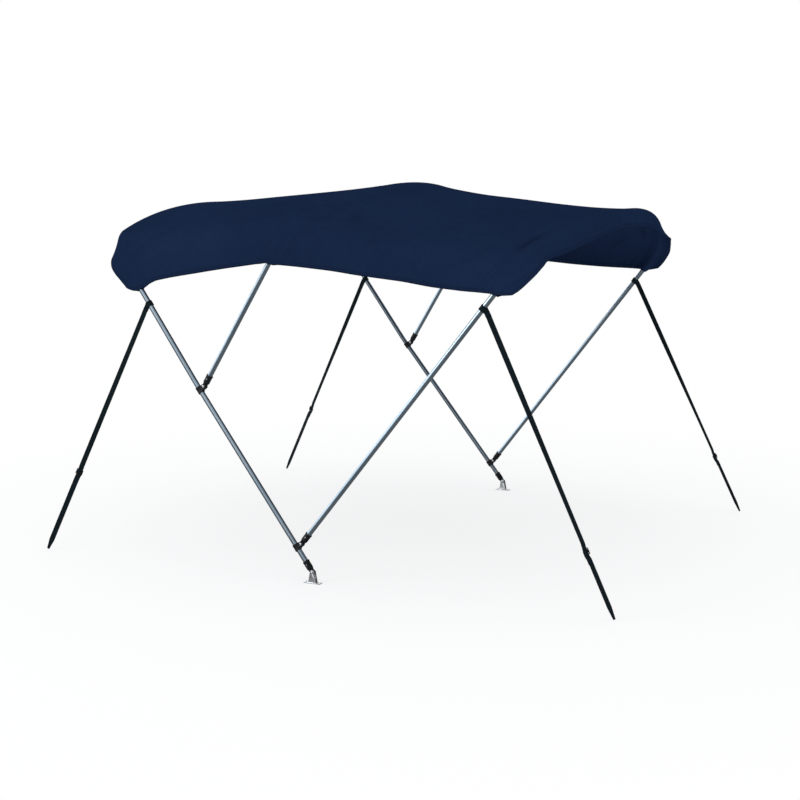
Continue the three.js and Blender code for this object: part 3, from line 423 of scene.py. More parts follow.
def linked(name, data):
    thing = bpy.data.objects.new(name, data)
    bpy.context.collection.objects.link(thing)
    return thing


def face_outward(mesh):
    work = bmesh.new()
    work.from_mesh(mesh)
    bmesh.ops.recalc_face_normals(work, faces=work.faces)
    work.to_mesh(mesh)
    work.free()


def finish_piece(thing, material, slot, *nodes):
    thing.data.materials.clear()
    thing.data.materials.append(material)
    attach(thing, "root")
    if nodes:
        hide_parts(*nodes)
    return thing


# ---- Materials: noise scales are per metre, and pitches and bump distances in metres ----

class Graph:
    """Small builder for a procedural material."""

    def __init__(self, name):
        self.material = bpy.data.materials.new(name)
        self.material.use_nodes = True
        self.tree = self.material.node_tree
        self.shader = self.tree.nodes["Principled BSDF"]

    def put(self, socket, value):
        if isinstance(value, bpy.types.NodeSocket):
            self.tree.links.new(value, socket)
        else:
            socket.default_value = value

    def add(self, kind, inputs=None, output=0, **settings):
        node = self.tree.nodes.new(kind)
        for key, value in settings.items():
            setattr(node, key, value)
        for key, value in (inputs or {}).items():
            self.put(node.inputs[key], value)
        return node.outputs[output]

    def math(self, operation, a, b=0.0, c=0.0, clamp=False):
        return self.add("ShaderNodeMath", {0: a, 1: b, 2: c}, operation=operation, use_clamp=clamp)

    def humps(self, value, pitch):
        return self.math("ABSOLUTE", self.math("SINE", self.math("MULTIPLY", value, math.pi / pitch)))

    def noise(self, vector, scale, detail=3.0, rough=0.55):
        inputs = {"Vector": vector, "Scale": scale, "Detail": detail, "Roughness": rough}
        return self.add("ShaderNodeTexNoise", inputs)

    def fit(self, value, low, high, to_low, to_high):
        return self.add("ShaderNodeMapRange", {
            "Value": value, "From Min": low, "From Max": high, "To Min": to_low, "To Max": to_high,
        })

    def blend(self, factor, a, b):
        return self.add("ShaderNodeMix", {0: factor, 6: a, 7: b}, output=2, data_type="RGBA")

    def stretched(self, vector, x, y, z=1.0):
        return self.add("ShaderNodeMapping", {"Vector": vector, "Scale": (x, y, z)})

    def place(self):
        """Coordinates of the object in metres."""
        return self.add("ShaderNodeTexCoord", output=3)

    def uv(self):
        return self.add("ShaderNodeUVMap", uv_map="UVMap")

    def parts(self, vector):
        node = self.tree.nodes.new("ShaderNodeSeparateXYZ")
        self.put(node.inputs[0], vector)
        return node.outputs

    def weight(self, name):
        return self.add("ShaderNodeAttribute", output=2, attribute_name=name)

    def bump(self, height, distance, strength=1.0, normal=None):
        inputs = {"Height": height, "Distance": distance, "Strength": strength}
        if normal is not None:
            inputs["Normal"] = normal
        return self.add("ShaderNodeBump", inputs)

    def set(self, **inputs):
        for key, value in inputs.items():
            self.put(self.shader.inputs[key.replace("_", " ")], value)


def rgb(red, green, blue):
    """Linear colour from an sRGB one of 0 to 255."""
    def linear(v):
        v /= 255
        return v / 12.92 if v <= 0.04045 else ((v + 0.055) / 1.055) ** 2.4
    return (linear(red), linear(green), linear(blue), 1.0)


def weave(graph, uv, pitch):
    """Height of a plain weave, 0 in the gaps to 1 on the threads."""
    across, down, _ = graph.parts(uv)
    waves = [graph.math("SINE", graph.math("MULTIPLY", part, math.pi / pitch)) for part in (across, down)]
    warp, weft = (graph.math("ABSOLUTE", w) for w in waves)
    over = graph.math("MULTIPLY", waves[0], waves[1])
    return graph.add("ShaderNodeMix", {
        0: graph.math("MULTIPLY_ADD", over, 2.5, 0.5, clamp=True), 2: warp, 3: weft,
    })


def cloth_material(name, colour, dark, hem_and_seam_shade=0.0):
    g = Graph(name)
    uv = g.uv()
    place = g.place()
    broad = g.noise(place, 2.2, 2.0)
    middle = g.noise(place, 26.0, 3.0)
    slub = g.noise(g.stretched(uv, 55.0, 900.0), 1.0, 2.0)
    cross = g.noise(g.stretched(uv, 900.0, 55.0), 1.0, 2.0)
    threads = g.math("MULTIPLY", g.math("ADD", slub, cross), 0.5)
    tone = g.math("ADD", g.fit(broad, 0.3, 0.7, -0.22, 0.22), g.fit(middle, 0.3, 0.7, -0.12, 0.12))
    tone = g.math("ADD", tone, g.fit(threads, 0.35, 0.65, -0.25, 0.25))
    base = g.blend(g.math("ADD", tone, 0.5, clamp=True), dark, colour)
    # Painted shade over the cloth's colour: the hem band, the stitch lines and pocket seams darker, a painted
    # shadow along the rim of the hems, and darker hollows in the creases
    if hem_and_seam_shade:
        shades = (
            ("hem", hem_and_seam_shade, dark), ("seam", hem_and_seam_shade, dark), ("edge", 0.8, rgb(9, 13, 22)),
            ("crease_shade", 0.4, rgb(9, 16, 32)),
        )
        for weight, share, shade in shades:
            base = g.blend(g.math("MULTIPLY", g.weight(weight), share), base, shade)
    fine = g.bump(weave(g, uv, THREAD_PITCH), 0.00008, 0.7)
    creased = g.bump(g.noise(place, 60.0, 4.0, 0.6), 0.0016, 0.28, fine)
    g.set(
        Base_Color=base, Normal=creased, Roughness=g.fit(middle, 0.3, 0.7, 0.82, 0.92),
        Specular_IOR_Level=0.0,
    )
    return g.material


def thread_material():
    g = Graph("sewing_thread")
    place = g.place()
    twist = g.noise(place, 1500.0, 2.0)
    g.set(
        Base_Color=g.blend(twist, rgb(14, 24, 42), rgb(23, 36, 60)),
        Normal=g.bump(twist, 0.0001, 0.5), Roughness=0.6, Specular_IOR_Level=0.1,
    )
    return g.material


def aluminium_material():
    g = Graph("anodised_aluminium")
    uv = g.uv()
    drawn = g.noise(g.stretched(uv, 1500.0, 6.0), 1.0, 2.0)
    cloudy = g.noise(g.stretched(uv, 24.0, 5.0), 1.0, 3.0)
    scuff = g.noise(g.stretched(uv, 300.0, 110.0), 1.0, 5.0, 0.7)
    marks = g.fit(scuff, 0.64, 0.76, 0.0, 1.0)
    base = g.blend(g.fit(cloudy, 0.35, 0.65, 0.0, 1.0), rgb(150, 168, 182), rgb(164, 180, 192))
    base = g.blend(g.math("MULTIPLY", g.fit(drawn, 0.4, 0.7, 0.0, 1.0), 0.3), base, rgb(128, 146, 162))
    base = g.blend(g.math("MULTIPLY", marks, 0.3), base, rgb(190, 198, 204))
    rough = g.math("ADD", g.fit(drawn, 0.3, 0.7, 0.2, 0.3), g.math("MULTIPLY", marks, 0.15))
    lines = g.bump(drawn, 0.00001, 0.5)
    g.set(
        Base_Color=base, Metallic=1.0, Roughness=rough,
        Normal=g.bump(g.noise(g.place(), 60.0, 2.0), 0.00005, 0.2, lines),
    )
    return g.material


def steel_material():
    g = Graph("polished_stainless")
    place = g.place()
    brushed = g.noise(g.stretched(place, 400.0, 5000.0, 5000.0), 1.0, 3.0)
    cloudy = g.noise(place, 160.0, 3.0)
    g.set(
        Base_Color=g.blend(cloudy, rgb(196, 200, 204), rgb(224, 226, 228)), Metallic=1.0,
        Roughness=g.fit(brushed, 0.3, 0.7, 0.12, 0.3), Normal=g.bump(brushed, 0.00003, 0.5),
    )
    return g.material


def nylon_material():
    g = Graph("moulded_nylon")
    place = g.place()
    grain = g.noise(place, 2600.0, 4.0, 0.65)
    flow = g.noise(g.stretched(place, 60.0, 60.0, 160.0), 1.0, 3.0)
    worn = g.add("ShaderNodeNewGeometry", output=7)
    edges = g.fit(worn, 0.52, 0.6, 0.0, 0.5)
    base = g.blend(g.fit(flow, 0.35, 0.65, 0.0, 1.0), rgb(7, 11, 14), rgb(13, 18, 22))
    g.set(
        Base_Color=g.blend(edges, base, rgb(34, 42, 48)), Roughness=g.fit(flow, 0.3, 0.7, 0.42, 0.56),
        Normal=g.bump(grain, 0.00004, 0.4), Specular_IOR_Level=0.3,
    )
    return g.material


def webbing_material():
    g = Graph("woven_webbing")
    place = g.place()
    across, down, _ = g.parts(g.uv())
    # Yarns run down the strap in pairs, and each pair steps up and down in a herringbone
    yarn = g.humps(across, YARN_PITCH)
    step = g.humps(g.math("ADD", down, g.math("PINGPONG", across, 2 * YARN_PITCH)), YARN_STEP)
    height = g.math("MULTIPLY", yarn, g.math("MULTIPLY_ADD", step, 0.6, 0.4))
    cloudy = g.noise(place, 30.0, 3.0)
    fuzz = g.noise(place, 1200.0, 3.0, 0.7)
    # Painted shade: the gaps between the yarns darker and the raised yarns lighter, by the weave's height
    deep = g.blend(cloudy, rgb(5, 13, 17), rgb(9, 18, 23))
    base = g.blend(g.math("MULTIPLY", height, 0.75), deep, rgb(17, 32, 38))
    rib = g.bump(height, 0.0003, 0.8)
    g.set(
        Base_Color=base, Roughness=g.fit(fuzz, 0.3, 0.7, 0.62, 0.8), Normal=g.bump(fuzz, 0.0001, 0.3, rib),
        Specular_IOR_Level=0.06,
    )
    return g.material


CANOPY_CLOTH = cloth_material("canopy_polyester", rgb(24, 39, 66), rgb(19, 31, 55), 0.55)
POCKET_CLOTH = cloth_material("pocket_polyester", rgb(24, 39, 66), rgb(19, 31, 55))
THREAD = thread_material()
ALUMINIUM = aluminium_material()
STEEL = steel_material()
NYLON = nylon_material()
WEBBING = webbing_material()


# ---- Bows ----

def lean_direction(degrees):
    return np.array([math.sin(math.radians(degrees)), 0.0, math.cos(math.radians(degrees))])


def side_direction(degrees):
    return np.array([math.cos(math.radians(degrees)), 0.0, -math.sin(math.radians(degrees))])


LOWER_UP = lean_direction(LOWER_LEG_LEAN)
FOOT_POINT = np.array([FOOT_X, 0.0, FOOT_HEIGHT])
KNEE_POINT = FOOT_POINT + LOWER_UP * KNEE_DISTANCE


def make_bow(row, start):
    """Completes a bow from its table row and the x, half span and z of the place its legs start at."""
    up = lean_direction(row["lean"])
    slope = math.radians(row["slope"])
    bend_centre = row["half"] - row["bend"]
    arch_radius = row["bend"] + bend_centre / math.sin(slope)
    arch_drop = arch_radius * (1 - math.cos(slope))
    shoulder_drop = arch_drop + row["bend"] * math.cos(slope)
    leg_length = (row["crown"] - start[2]) / up[2] - shoulder_drop
    return {
        **row, "start": start, "up": up, "slope": slope, "bend_centre": bend_centre,
        "arch_radius": arch_radius, "arch_drop": arch_drop,
        "flare": math.atan((start[1] - row["half"]) / leg_length),
        "crown_x": start[0] + (row["crown"] - start[2]) * up[0] / up[2],
    }


def arch_frame(bow, angle, side):
    """Axis point, tangent towards +Y and outward normal at an angle from the crown."""
    if angle <= bow["slope"]:
        y = bow["arch_radius"] * math.sin(angle)
        drop = bow["arch_radius"] * (1 - math.cos(angle))
    else:
        y = bow["bend_centre"] + bow["bend"] * math.sin(angle)
        drop = bow["arch_drop"] + bow["bend"] * (math.cos(bow["slope"]) - math.cos(angle))
    crown = np.array([bow["crown_x"], 0.0, bow["crown"]])
    return (
        crown - bow["up"] * drop + ACROSS * side * y,
        ACROSS * math.cos(angle) - bow["up"] * side * math.sin(angle),
        ACROSS * side * math.sin(angle) + bow["up"] * math.cos(angle),
    )


def leg_frame(bow, below, side):
    point, tangent, normal = arch_frame(bow, math.pi / 2 - bow["flare"], side)
    return point + tangent * side * below, tangent, normal


def leg_at(bow, height, side):
    """Where a leg is at a height, with the unit vector that runs up it."""
    point, tangent, _ = leg_frame(bow, 0.0, side)
    axis = -tangent * side
    return point + axis * (height - point[2]) / axis[2], axis


def lower_leg(distance, side):
    foot = np.array([FOOT_X, side * FOOT_HALF_SPAN, FOOT_HEIGHT])
    knee = np.array([KNEE_POINT[0], side * KNEE_HALF_SPAN, KNEE_POINT[2]])
    axis = unit(knee - foot)
    return foot + axis * distance, axis


def slide_pivot(distance, side):
    """Point on the leg, axis up it, direction out to the jaws, and bolt of a slide."""
    point, axis = lower_leg(distance, side)
    out = squared_to(side_direction(LOWER_LEG_LEAN), axis)
    return point, axis, out, point + out * JAW_REACH


BOWS = {
    "main": make_bow(BOW_TABLE["main"], (KNEE_POINT[0], KNEE_HALF_SPAN, KNEE_POINT[2])),
    "middle": make_bow(BOW_TABLE["middle"], tuple(slide_pivot(HIGH_SLIDE_DISTANCE, 1)[3])),
    "front": make_bow(BOW_TABLE["front"], tuple(slide_pivot(LOW_SLIDE_DISTANCE, 1)[3])),
}


def bolted_leg(bow, side):
    bolt = np.array([bow["start"][0], side * bow["start"][1], bow["start"][2]])
    return bolt, unit(leg_frame(bow, 0.0, side)[0] - bolt)


def bow_line(name):
    """Points of a bow's axis from its near foot to its far foot, close together in the bends."""
    bow = BOWS[name]
    half = [arch_frame(bow, a, 1)[0] for a in np.linspace(0, bow["slope"], 26)]
    bends = np.linspace(bow["slope"], math.pi / 2 - bow["flare"], 22)[1:]
    half += [arch_frame(bow, a, 1)[0] for a in bends]
    if name == "main":
        knee, low_axis = lower_leg(KNEE_DISTANCE, 1)
        top_axis = unit(half[-1] - knee)
        start, end = knee + top_axis * KNEE_BLEND, knee - low_axis * KNEE_BLEND
        foot = lower_leg(EYE_BORE_START + SEAM_GAP, 1)[0]
        half += [lerp(half[-1], start, t) for t in np.linspace(0, 1, 8)[1:]]
        half += corner_curve(start, knee, end, np.linspace(0, 1, 7)[1:])
    else:
        bolt, axis = bolted_leg(bow, 1)
        foot = bolt + axis * (EYE_BORE_START + SEAM_GAP)
    half += [lerp(half[-1], foot, t) for t in np.linspace(0, 1, 24)[1:]]
    half = np.array(half)
    near = half[1:] * np.array([1, -1, 1])
    return np.vstack([near[::-1], half])


def tube_along(name, line, radius, sides):
    """Round tube with a UV of metres round and along it, and closed square-cut ends."""
    tangents = unit(np.gradient(line, axis=0))
    first = squared_to(FORWARD, tangents[0])
    rings, uv, faces = [], [], []
    run = run_of(line)
    for i, (point, tangent) in enumerate(zip(line, tangents)):
        first = squared_to(first, tangent)
        second = np.cross(tangent, first)
        for k in range(sides + 1):
            angle = 2 * math.pi * k / sides
            rings.append(point + radius * (first * math.cos(angle) + second * math.sin(angle)))
            uv.append((angle * radius * MM, run[i] * MM))
    width = sides + 1
    for i in range(len(line) - 1):
        for k in range(sides):
            a = i * width + k
            faces.append((a, a + 1, a + 1 + width, a + width))
    thing = mesh_object(name, in_frame(rings), faces, uv)
    mesh = bmesh.new()
    mesh.from_mesh(thing.data)
    bmesh.ops.remove_doubles(mesh, verts=mesh.verts, dist=1e-6)
    ends = [e for e in mesh.edges if e.is_boundary]
    made = bmesh.ops.holes_fill(mesh, edges=ends, sides=sides + 4)["faces"]
    for face in made:
        face.smooth = False
    for edge in ends:
        edge.smooth = False
    bmesh.ops.recalc_face_normals(mesh, faces=mesh.faces)
    mesh.to_mesh(thing.data)
    mesh.free()
    return thing


for bow_name in BOWS:
    tube = tube_along("tube_" + bow_name, bow_line(bow_name), TUBE_RADIUS, TUBE_SIDES)
    finish_piece(tube, ALUMINIUM, "bow_tube", "bow_" + bow_name)


# ---- Canopy ----

def cloth_rows():
    """Rows of the cloth from the near hem to the far hem, each a zone, how far down it and a side."""
    half = [("skirt", down) for down in np.linspace(1, 0, SKIRT_ROWS, endpoint=False)]
    half += [("shoulder", down) for down in np.linspace(1, 0, SHOULDER_ROWS, endpoint=False)]
    half += [("arch", down) for down in np.linspace(1, 0, ARCH_ROWS, endpoint=False)]
    near = [(zone, down, -1) for zone, down in half]
    far = [(zone, down, 1) for zone, down in half]
    return [*near, ("arch", 0.0, 1), *far[::-1]]


ROWS = cloth_rows()
SIDE = np.array([side for _, _, side in ROWS], float)[:, None]


def rise_of(zone, down):
    """How far up the cloth a row lies, 0 at the hem and 1 at the crown."""
    if zone == "skirt":
        return SKIRT_RISE * (1 - down)
    if zone == "shoulder":
        return SKIRT_RISE + SHOULDER_RISE * (1 - down)
    return 1 - (1 - SKIRT_RISE - SHOULDER_RISE) * down ** (1 / ARCH_SPREAD)


RISE = np.array([rise_of(zone, down) for zone, down, _ in ROWS])[:, None]


def on_bow(bow):
    """Points, tangents, normals and distances up from the hem of all rows on a bow."""
    found, ups = [], []
    shoulder = bow["bend"] * (math.pi / 2 - bow["flare"] - bow["slope"])
    for zone, down, side in ROWS:
        top, tangent, _ = leg_frame(bow, 0.0, side)
        skirt = (top[2] - bow["hem"]) / abs(tangent[2])
        if zone == "arch":
            found.append(arch_frame(bow, bow["slope"] * down, side))
            ups.append(skirt + shoulder + bow["arch_radius"] * bow["slope"] * (1 - down))
        elif zone == "shoulder":
            found.append(arch_frame(bow, lerp(bow["slope"], math.pi / 2 - bow["flare"], down), side))
            ups.append(skirt + shoulder * (1 - down))
        else:
            found.append(leg_frame(bow, skirt * down, side))
            ups.append(skirt * (1 - down))
    return tuple(np.array([f[k] for f in found]) for k in range(3)) + (np.array(ups)[:, None],)


def panel_normal(tangent, normal, crown_normal):
    """Outward normal of the cloth: near the crown the one given, and sideways on the legs."""
    sideways = np.abs(normal[:, 1:2])
    level = np.sqrt(np.maximum(0, 1 - sideways**2))
    return squared_to(crown_normal * level + ACROSS * SIDE * sideways, tangent)


def end_bow(name, flap, outward, panel_up):
    """The cloth over an end bow: its flap and its turn round the tube."""
    point, tangent, normal, up = on_bow(BOWS[name])
    sideways = np.abs(normal[:, 1:2])
    hanging = np.where(SIDE < 0, smoothstep(up, *flap["turn_near"]), smoothstep(up, *flap["turn_far"]))
    inner = panel_normal(tangent, normal, panel_up)
    crown = unit(lerp(np.broadcast_to(panel_up, inner.shape), FORWARD * outward, hanging))
    outer = panel_normal(tangent, normal, crown)
    hang = np.cross(tangent, outer) * outward
    edge = {
        "point": point, "tangent": tangent, "inner": inner, "outer": outer, "hang": hang,
        "reach": by_side(flap["reach"], up), "down": tangent * SIDE,
        "fade": np.clip(1 - up / flap["fade"], 0, 1) ** 2,
        "contact": TUBE_CONTACT * np.maximum(1 - hanging, sideways**2),
        "radius": SKIN_RADIUS + TURN_LIFT * 4 * hanging * (1 - hanging), "ear": flap["ear"],
        "lift": flap["lift"], "fullness": flap["fullness"],
    }
    edge["root"] = point + inner * edge["radius"] - hang * edge["contact"] / 2
    return edge


def flap_column(edge, part):
    """Points of the flap at a part of its reach from the tube."""
    away = edge["reach"] * part
    lift = lerp(edge["ear"], -edge["lift"], part ** edge["fullness"])
    return (
        edge["point"] + edge["outer"] * (edge["radius"] + away * FLAP_LEAN)
        + edge["hang"] * away + edge["down"] * edge["fade"] * lift
    )


def wrap_column(edge, part):
    normal = unit(lerp(edge["outer"], edge["inner"], part))
    return (
        edge["point"] + normal * edge["radius"] + edge["hang"] * edge["contact"] * (0.5 - part)
        + edge["down"] * edge["fade"] * edge["ear"]
    )


def fold_height(panel, place):
    height = np.zeros_like(RISE)
    for name, side, low, high, width, size, start, end in FOLD_TABLE:
        if name != panel:
            continue
        along = np.clip((RISE - start) / (end - start), 0, 1)
        across = (place - lerp(low, high, along)) / width
        ends = np.sin(math.pi * lerp(0.35, 1, along)) ** 2
        edges = min(1, place * 8, (1 - place) * 8)
        height = height + np.where(SIDE == side, size * ends * edges * np.exp(-across * across * 2), 0.0)
    return height


rear_edge = end_bow("main", REAR_FLAP, -1, unit(REAR_UP))
front_edge = end_bow("front", FRONT_FLAP, 1, unit(FRONT_UP))
middle_point, middle_tangent, middle_normal, _ = on_bow(BOWS["middle"])
middle_out = panel_normal(middle_tangent, middle_normal, UP)
middle_along = np.cross(middle_tangent, middle_out)


def panel_columns(name, panel, start, end, edge):
    """Columns of a panel between the cloth's line on one bow and its line on the next."""
    level = 1 - np.abs(middle_normal[:, 1:2])
    found = []
    for place in PLACES:
        dip = panel["sag"] * (1 - (2 * place - 1) ** 4) * level
        out = middle_out * fold_height(name, place)
        drop = edge["down"] * edge["fade"] * by_side(panel["drops"], place)
        found.append(("%s_panel_%.3f" % (name, place), lerp(start, end, place) - UP * dip + out + drop))
    return found


def ridge_column(place):
    return (
        middle_point + middle_out * (SKIN_RADIUS - RIDGE_DIP * place**2)
        + middle_along * (TUBE_CONTACT / 2) * place
    )


def flap_columns(name, edge):
    """Columns of a flap from its hem inward and on round the tube."""
    first = 1 - HEM_DISTANCES[-1] / edge["reach"]
    last = np.maximum(edge["contact"] / 2, 0.8) / edge["reach"]
    found = [("%s_hem_%g" % (name, d), flap_column(edge, 1 - d / edge["reach"])) for d in HEM_DISTANCES]
    for t in np.linspace(0, 1, FLAP_COLUMNS + 1)[1:]:
        found.append(("%s_flap_%g" % (name, t), flap_column(edge, lerp(first, last, t))))
    for t in np.linspace(0, 1, WRAP_COLUMNS + 1)[1:]:
        found.append(("%s_wrap_%g" % (name, t), wrap_column(edge, t)))
    return found


def canopy_columns():
    """Columns of the cloth's middle surface from the rear flap to the front flap, with their names."""
    columns = [
        *flap_columns("rear", rear_edge),
        *panel_columns("rear", REAR_PANEL, rear_edge["root"], ridge_column(-1), rear_edge),
        *[("ridge_%g" % place, ridge_column(place)) for place in np.linspace(-1, 1, RIDGE_COLUMNS)],
        *panel_columns("front", FRONT_PANEL, ridge_column(1), front_edge["root"], front_edge),
        *flap_columns("front", front_edge)[::-1],
    ]
    return [name for name, _ in columns], np.stack([points for _, points in columns], axis=1)


def along_line(line, distances, given=None):
    """Points at distances along a polyline, or what is given at its points read at these distances."""
    run, given = run_of(line), line if given is None else given
    return np.stack([np.interp(distances, run, given[:, k]) for k in range(3)], axis=1)


def with_hem_rows(grid):
    """The grid with its first rows at the hem's own distances from the edge, in every column."""
    columns = []
    for c in range(grid.shape[1]):
        line = grid[:, c]
        rest = np.linspace(HEM_DISTANCES[-1], run_of(line)[HEM_BLEND_TO], HEM_BLEND_ROWS + 1)[1:]
        first = along_line(line, [*HEM_DISTANCES, *rest])
        columns.append(np.vstack([first, line[HEM_BLEND_TO + 1:]]))
    return np.stack(columns, axis=1)


def finished_rows(grid):
    """A grid given at the bows' rows, brought to the rows of the finished cloth at both hems."""
    return with_hem_rows(with_hem_rows(grid)[::-1])[::-1]


def grid_normals(grid):
    down = np.gradient(grid, axis=0)
    across = np.gradient(grid, axis=1)
    return unit(np.cross(across, down))


def runs(grid, axis, start):
    """Distance along the grid's lines from the line at an index."""
    steps = np.linalg.norm(np.diff(grid, axis=axis), axis=-1)
    first = np.zeros_like(np.take(steps, [0], axis=axis))
    total = np.concatenate([first, np.cumsum(steps, axis=axis)], axis)
    return total - np.take(total, [start], axis=axis)


column_names, canopy_grid = canopy_columns()
canopy_grid = finished_rows(canopy_grid)
row_count, column_count = canopy_grid.shape[:2]
column_at = {name: i for i, name in enumerate(column_names)}
middle_column = column_at["ridge_0"]

# Distances over the cloth: along the boat from the middle bow, and up from the nearer hem
along = runs(canopy_grid, 1, middle_column)
from_near = runs(canopy_grid, 0, 0)
from_far = -runs(canopy_grid, 0, row_count - 1)
from_hem = np.minimum(from_near, from_far)
on_near = from_near <= from_far
from_rear = runs(canopy_grid, 1, 0)
from_front = -runs(canopy_grid, 1, column_count - 1)
from_flap = np.minimum(from_rear, from_front)
from_edge = np.minimum(from_hem, from_flap)


def crease_height():
    height = np.zeros_like(along)
    for side, line, width, size in CREASES:
        line = np.array(line, float)
        best = np.full(along.shape, 1e9)
        best_part = np.zeros_like(along)
        total = run_of(line)
        for i in range(len(line) - 1):
            a, d = line[i], line[i + 1] - line[i]
            t = np.clip(((along - a[0]) * d[0] + (from_hem - a[1]) * d[1]) / (d @ d), 0, 1)
            away = np.hypot(along - a[0] - t * d[0], from_hem - a[1] - t * d[1])
            closer = away < best
            best = np.where(closer, away, best)
            best_part = np.where(closer, lerp(total[i], total[i + 1], t) / total[-1], best_part)
        ends = np.sin(math.pi * np.clip(best_part, 0.04, 0.96)) ** 0.7
        height += np.where(on_near == (side < 0), size * ends * bell(best, width), 0.0)
    return height


def ripple(at, period, seed):
    """Uneven wave with a mean period."""
    turn = 2 * math.pi / period
    return (
        np.sin(turn * at + seed) + 0.6 * np.sin(turn * 0.618 * at + 2.1 * seed)
        + 0.45 * np.sin(turn * 1.37 * at + 3.7 * seed)
    ) / 2


bow_columns = [column_at["rear_panel_0.012"] - 1, middle_column, column_at["front_panel_0.988"] + 1]
from_bow = np.min([np.abs(along - along[:, [c]]) for c in bow_columns], axis=0)


def unevenness():
    """Slack of the cloth: broad waves, puckers along the hems and along the sewn pocket seams."""
    slack = smoothstep(from_edge, 20.0, 160.0) * smoothstep(from_bow, 14.0, 140.0)
    lengthwise, crosswise, height = BROAD_WAVES
    uneven = ripple(along + 0.35 * from_hem, *lengthwise) * ripple(from_near, *crosswise) * height * slack
    free = smoothstep(from_bow, 12.0, 45.0)

    def pucker(at, away, period, phase, height, reach):
        return ripple(at, period, phase) * height * bell(away, reach) * free

    uneven += pucker(along, from_hem - STITCH_INSET, *HEM_PUCKER)
    uneven += pucker(from_near, from_flap - STITCH_INSET, *FLAP_PUCKER)
    period, phase, height, reach = SEAM_PUCKER
    for i, name in enumerate(SEAM_COLUMNS):
        away = along - along[:, [column_at[name]]]
        uneven += pucker(from_near, away, period, phase + SEAM_PHASE_STEP * i, height, reach)
        uneven -= SEAM_DIP[0] * bell(away, SEAM_DIP[1]) * free
    return uneven


creases = crease_height()
rest_normals = grid_normals(canopy_grid)
canopy_grid = canopy_grid + rest_normals * (creases + unevenness())[..., None]
canopy_normals = grid_normals(canopy_grid)

hem_lines = HEM_DISTANCES.index(HEM_WIDTH) + 1
in_hem = np.zeros_like(along)
in_hem[:hem_lines] = in_hem[-hem_lines:] = 1.0
in_hem[:, :hem_lines] = in_hem[:, -hem_lines:] = 1.0
stitch_dip = STITCH_DIP * np.maximum(bell(from_hem - STITCH_INSET, 1.6), bell(from_flap - STITCH_INSET, 1.6))
thick_out = CLOTH / 2 + HEM_ROLL * in_hem - stitch_dip
thick_in = CLOTH / 2 + HEM_PLY * in_hem - stitch_dip


def closed_sheet(name, grid, normals, out, inside, uv, weights=None):
    """Closed sheet about a grid of middle points, with a rounded rim."""
    rows, columns = grid.shape[:2]
    outer = grid + normals * np.broadcast_to(out, grid.shape[:2])[..., None]
    inner = grid - normals * np.broadcast_to(inside, grid.shape[:2])[..., None]
    loop = [(0, c) for c in range(columns - 1)] + [(r, columns - 1) for r in range(rows - 1)]
    loop += [(rows - 1, c) for c in range(columns - 1, 0, -1)] + [(r, 0) for r in range(rows - 1, 0, -1)]
    rim = []
    centre = grid.mean(axis=(0, 1))
    for r, c in loop:
        inward_r = min(max(r, 1), rows - 2)
        inward_c = min(max(c, 1), columns - 2)
        away = grid[r, c] - grid[inward_r, inward_c]
        size = np.linalg.norm(away)
        away = away / size if size > 1e-6 else unit(grid[r, c] - centre)
        rim.append((outer[r, c] + inner[r, c]) / 2 + away * RIM_ROLL)
    points = np.vstack([outer.reshape(-1, 3), inner.reshape(-1, 3), np.array(rim)])
    index = np.arange(rows * columns).reshape(rows, columns)
    under = index + rows * columns
    faces = []
    for a, turn in ((index, 1), (under, -1)):
        corners = [a[:-1, :-1], a[:-1, 1:], a[1:, 1:], a[1:, :-1]]
        faces += np.stack([corners[0], *corners[1:][::turn]], -1).reshape(-1, 4).tolist()
    edge = 2 * rows * columns
    for i, (r, c) in enumerate(loop):
        j = (i + 1) % len(loop)
        r2, c2 = loop[j]
        faces.append((index[r2, c2], index[r, c], edge + i, edge + j))
        faces.append((edge + j, edge + i, under[r, c], under[r2, c2]))
    at_rim = tuple(np.array(loop).T)
    flat = uv.reshape(-1, 2)
    full = {key: np.concatenate([w.ravel(), w.ravel(), w[at_rim]]) for key, w in (weights or {}).items()}
    return mesh_object(name, in_frame(points), faces, np.vstack([flat, flat, uv[at_rim]]), full)


canopy_uv = np.stack([along, from_near], -1) * MM
# Masks of painted shade: the hem band, the stitch lines and pocket seams, the rim of the hems and flaps, and
# the hollows of the creases
canopy_weights = {
    "hem": in_hem,
    "seam": np.max([
        bell(from_hem - STITCH_INSET, 1.5), bell(from_flap - STITCH_INSET, 1.5),
        *[bell(along - along[:, [column_at[name]]], 2.5) for name in SEAM_COLUMNS],
    ], axis=0),
    # Painted shadow: a dark line along the rim of the hems, weaker along the flaps
    "edge": np.maximum(bell(from_hem, 4.0), 0.4 * bell(from_flap, 4.0)),
    # Painted shade in the hollows of the creases
    "crease_shade": np.clip(-creases / 6, 0, 1),
}
canopy = closed_sheet(
    "canopy_cloth", canopy_grid, canopy_normals, thick_out, thick_in, canopy_uv, canopy_weights,
)
finish_piece(canopy, CANOPY_CLOTH, "canopy_cloth", "canopy")


# ---- Pockets ----

def against_canopy(column):
    """Line that lies against the under side of the canopy along one of its columns."""
    depth = thick_in[:, column] + POCKET_GAP + CLOTH / 2
    return canopy_grid[:, column] - canopy_normals[:, column] * depth[:, None]


def under_tube(point, first, through, start, end):
    """Columns round the under side of a tube, from one direction round through another square to it."""
    radius = SKIN_RADIUS + POCKET_SLACK
    columns = []
    for t in np.linspace(0, 1, POCKET_ARC_COLUMNS):
        angle = lerp(start, end, t)
        columns.append(point + first * radius * np.cos(angle) + through * radius * np.sin(angle))
    return np.stack(columns, axis=1)


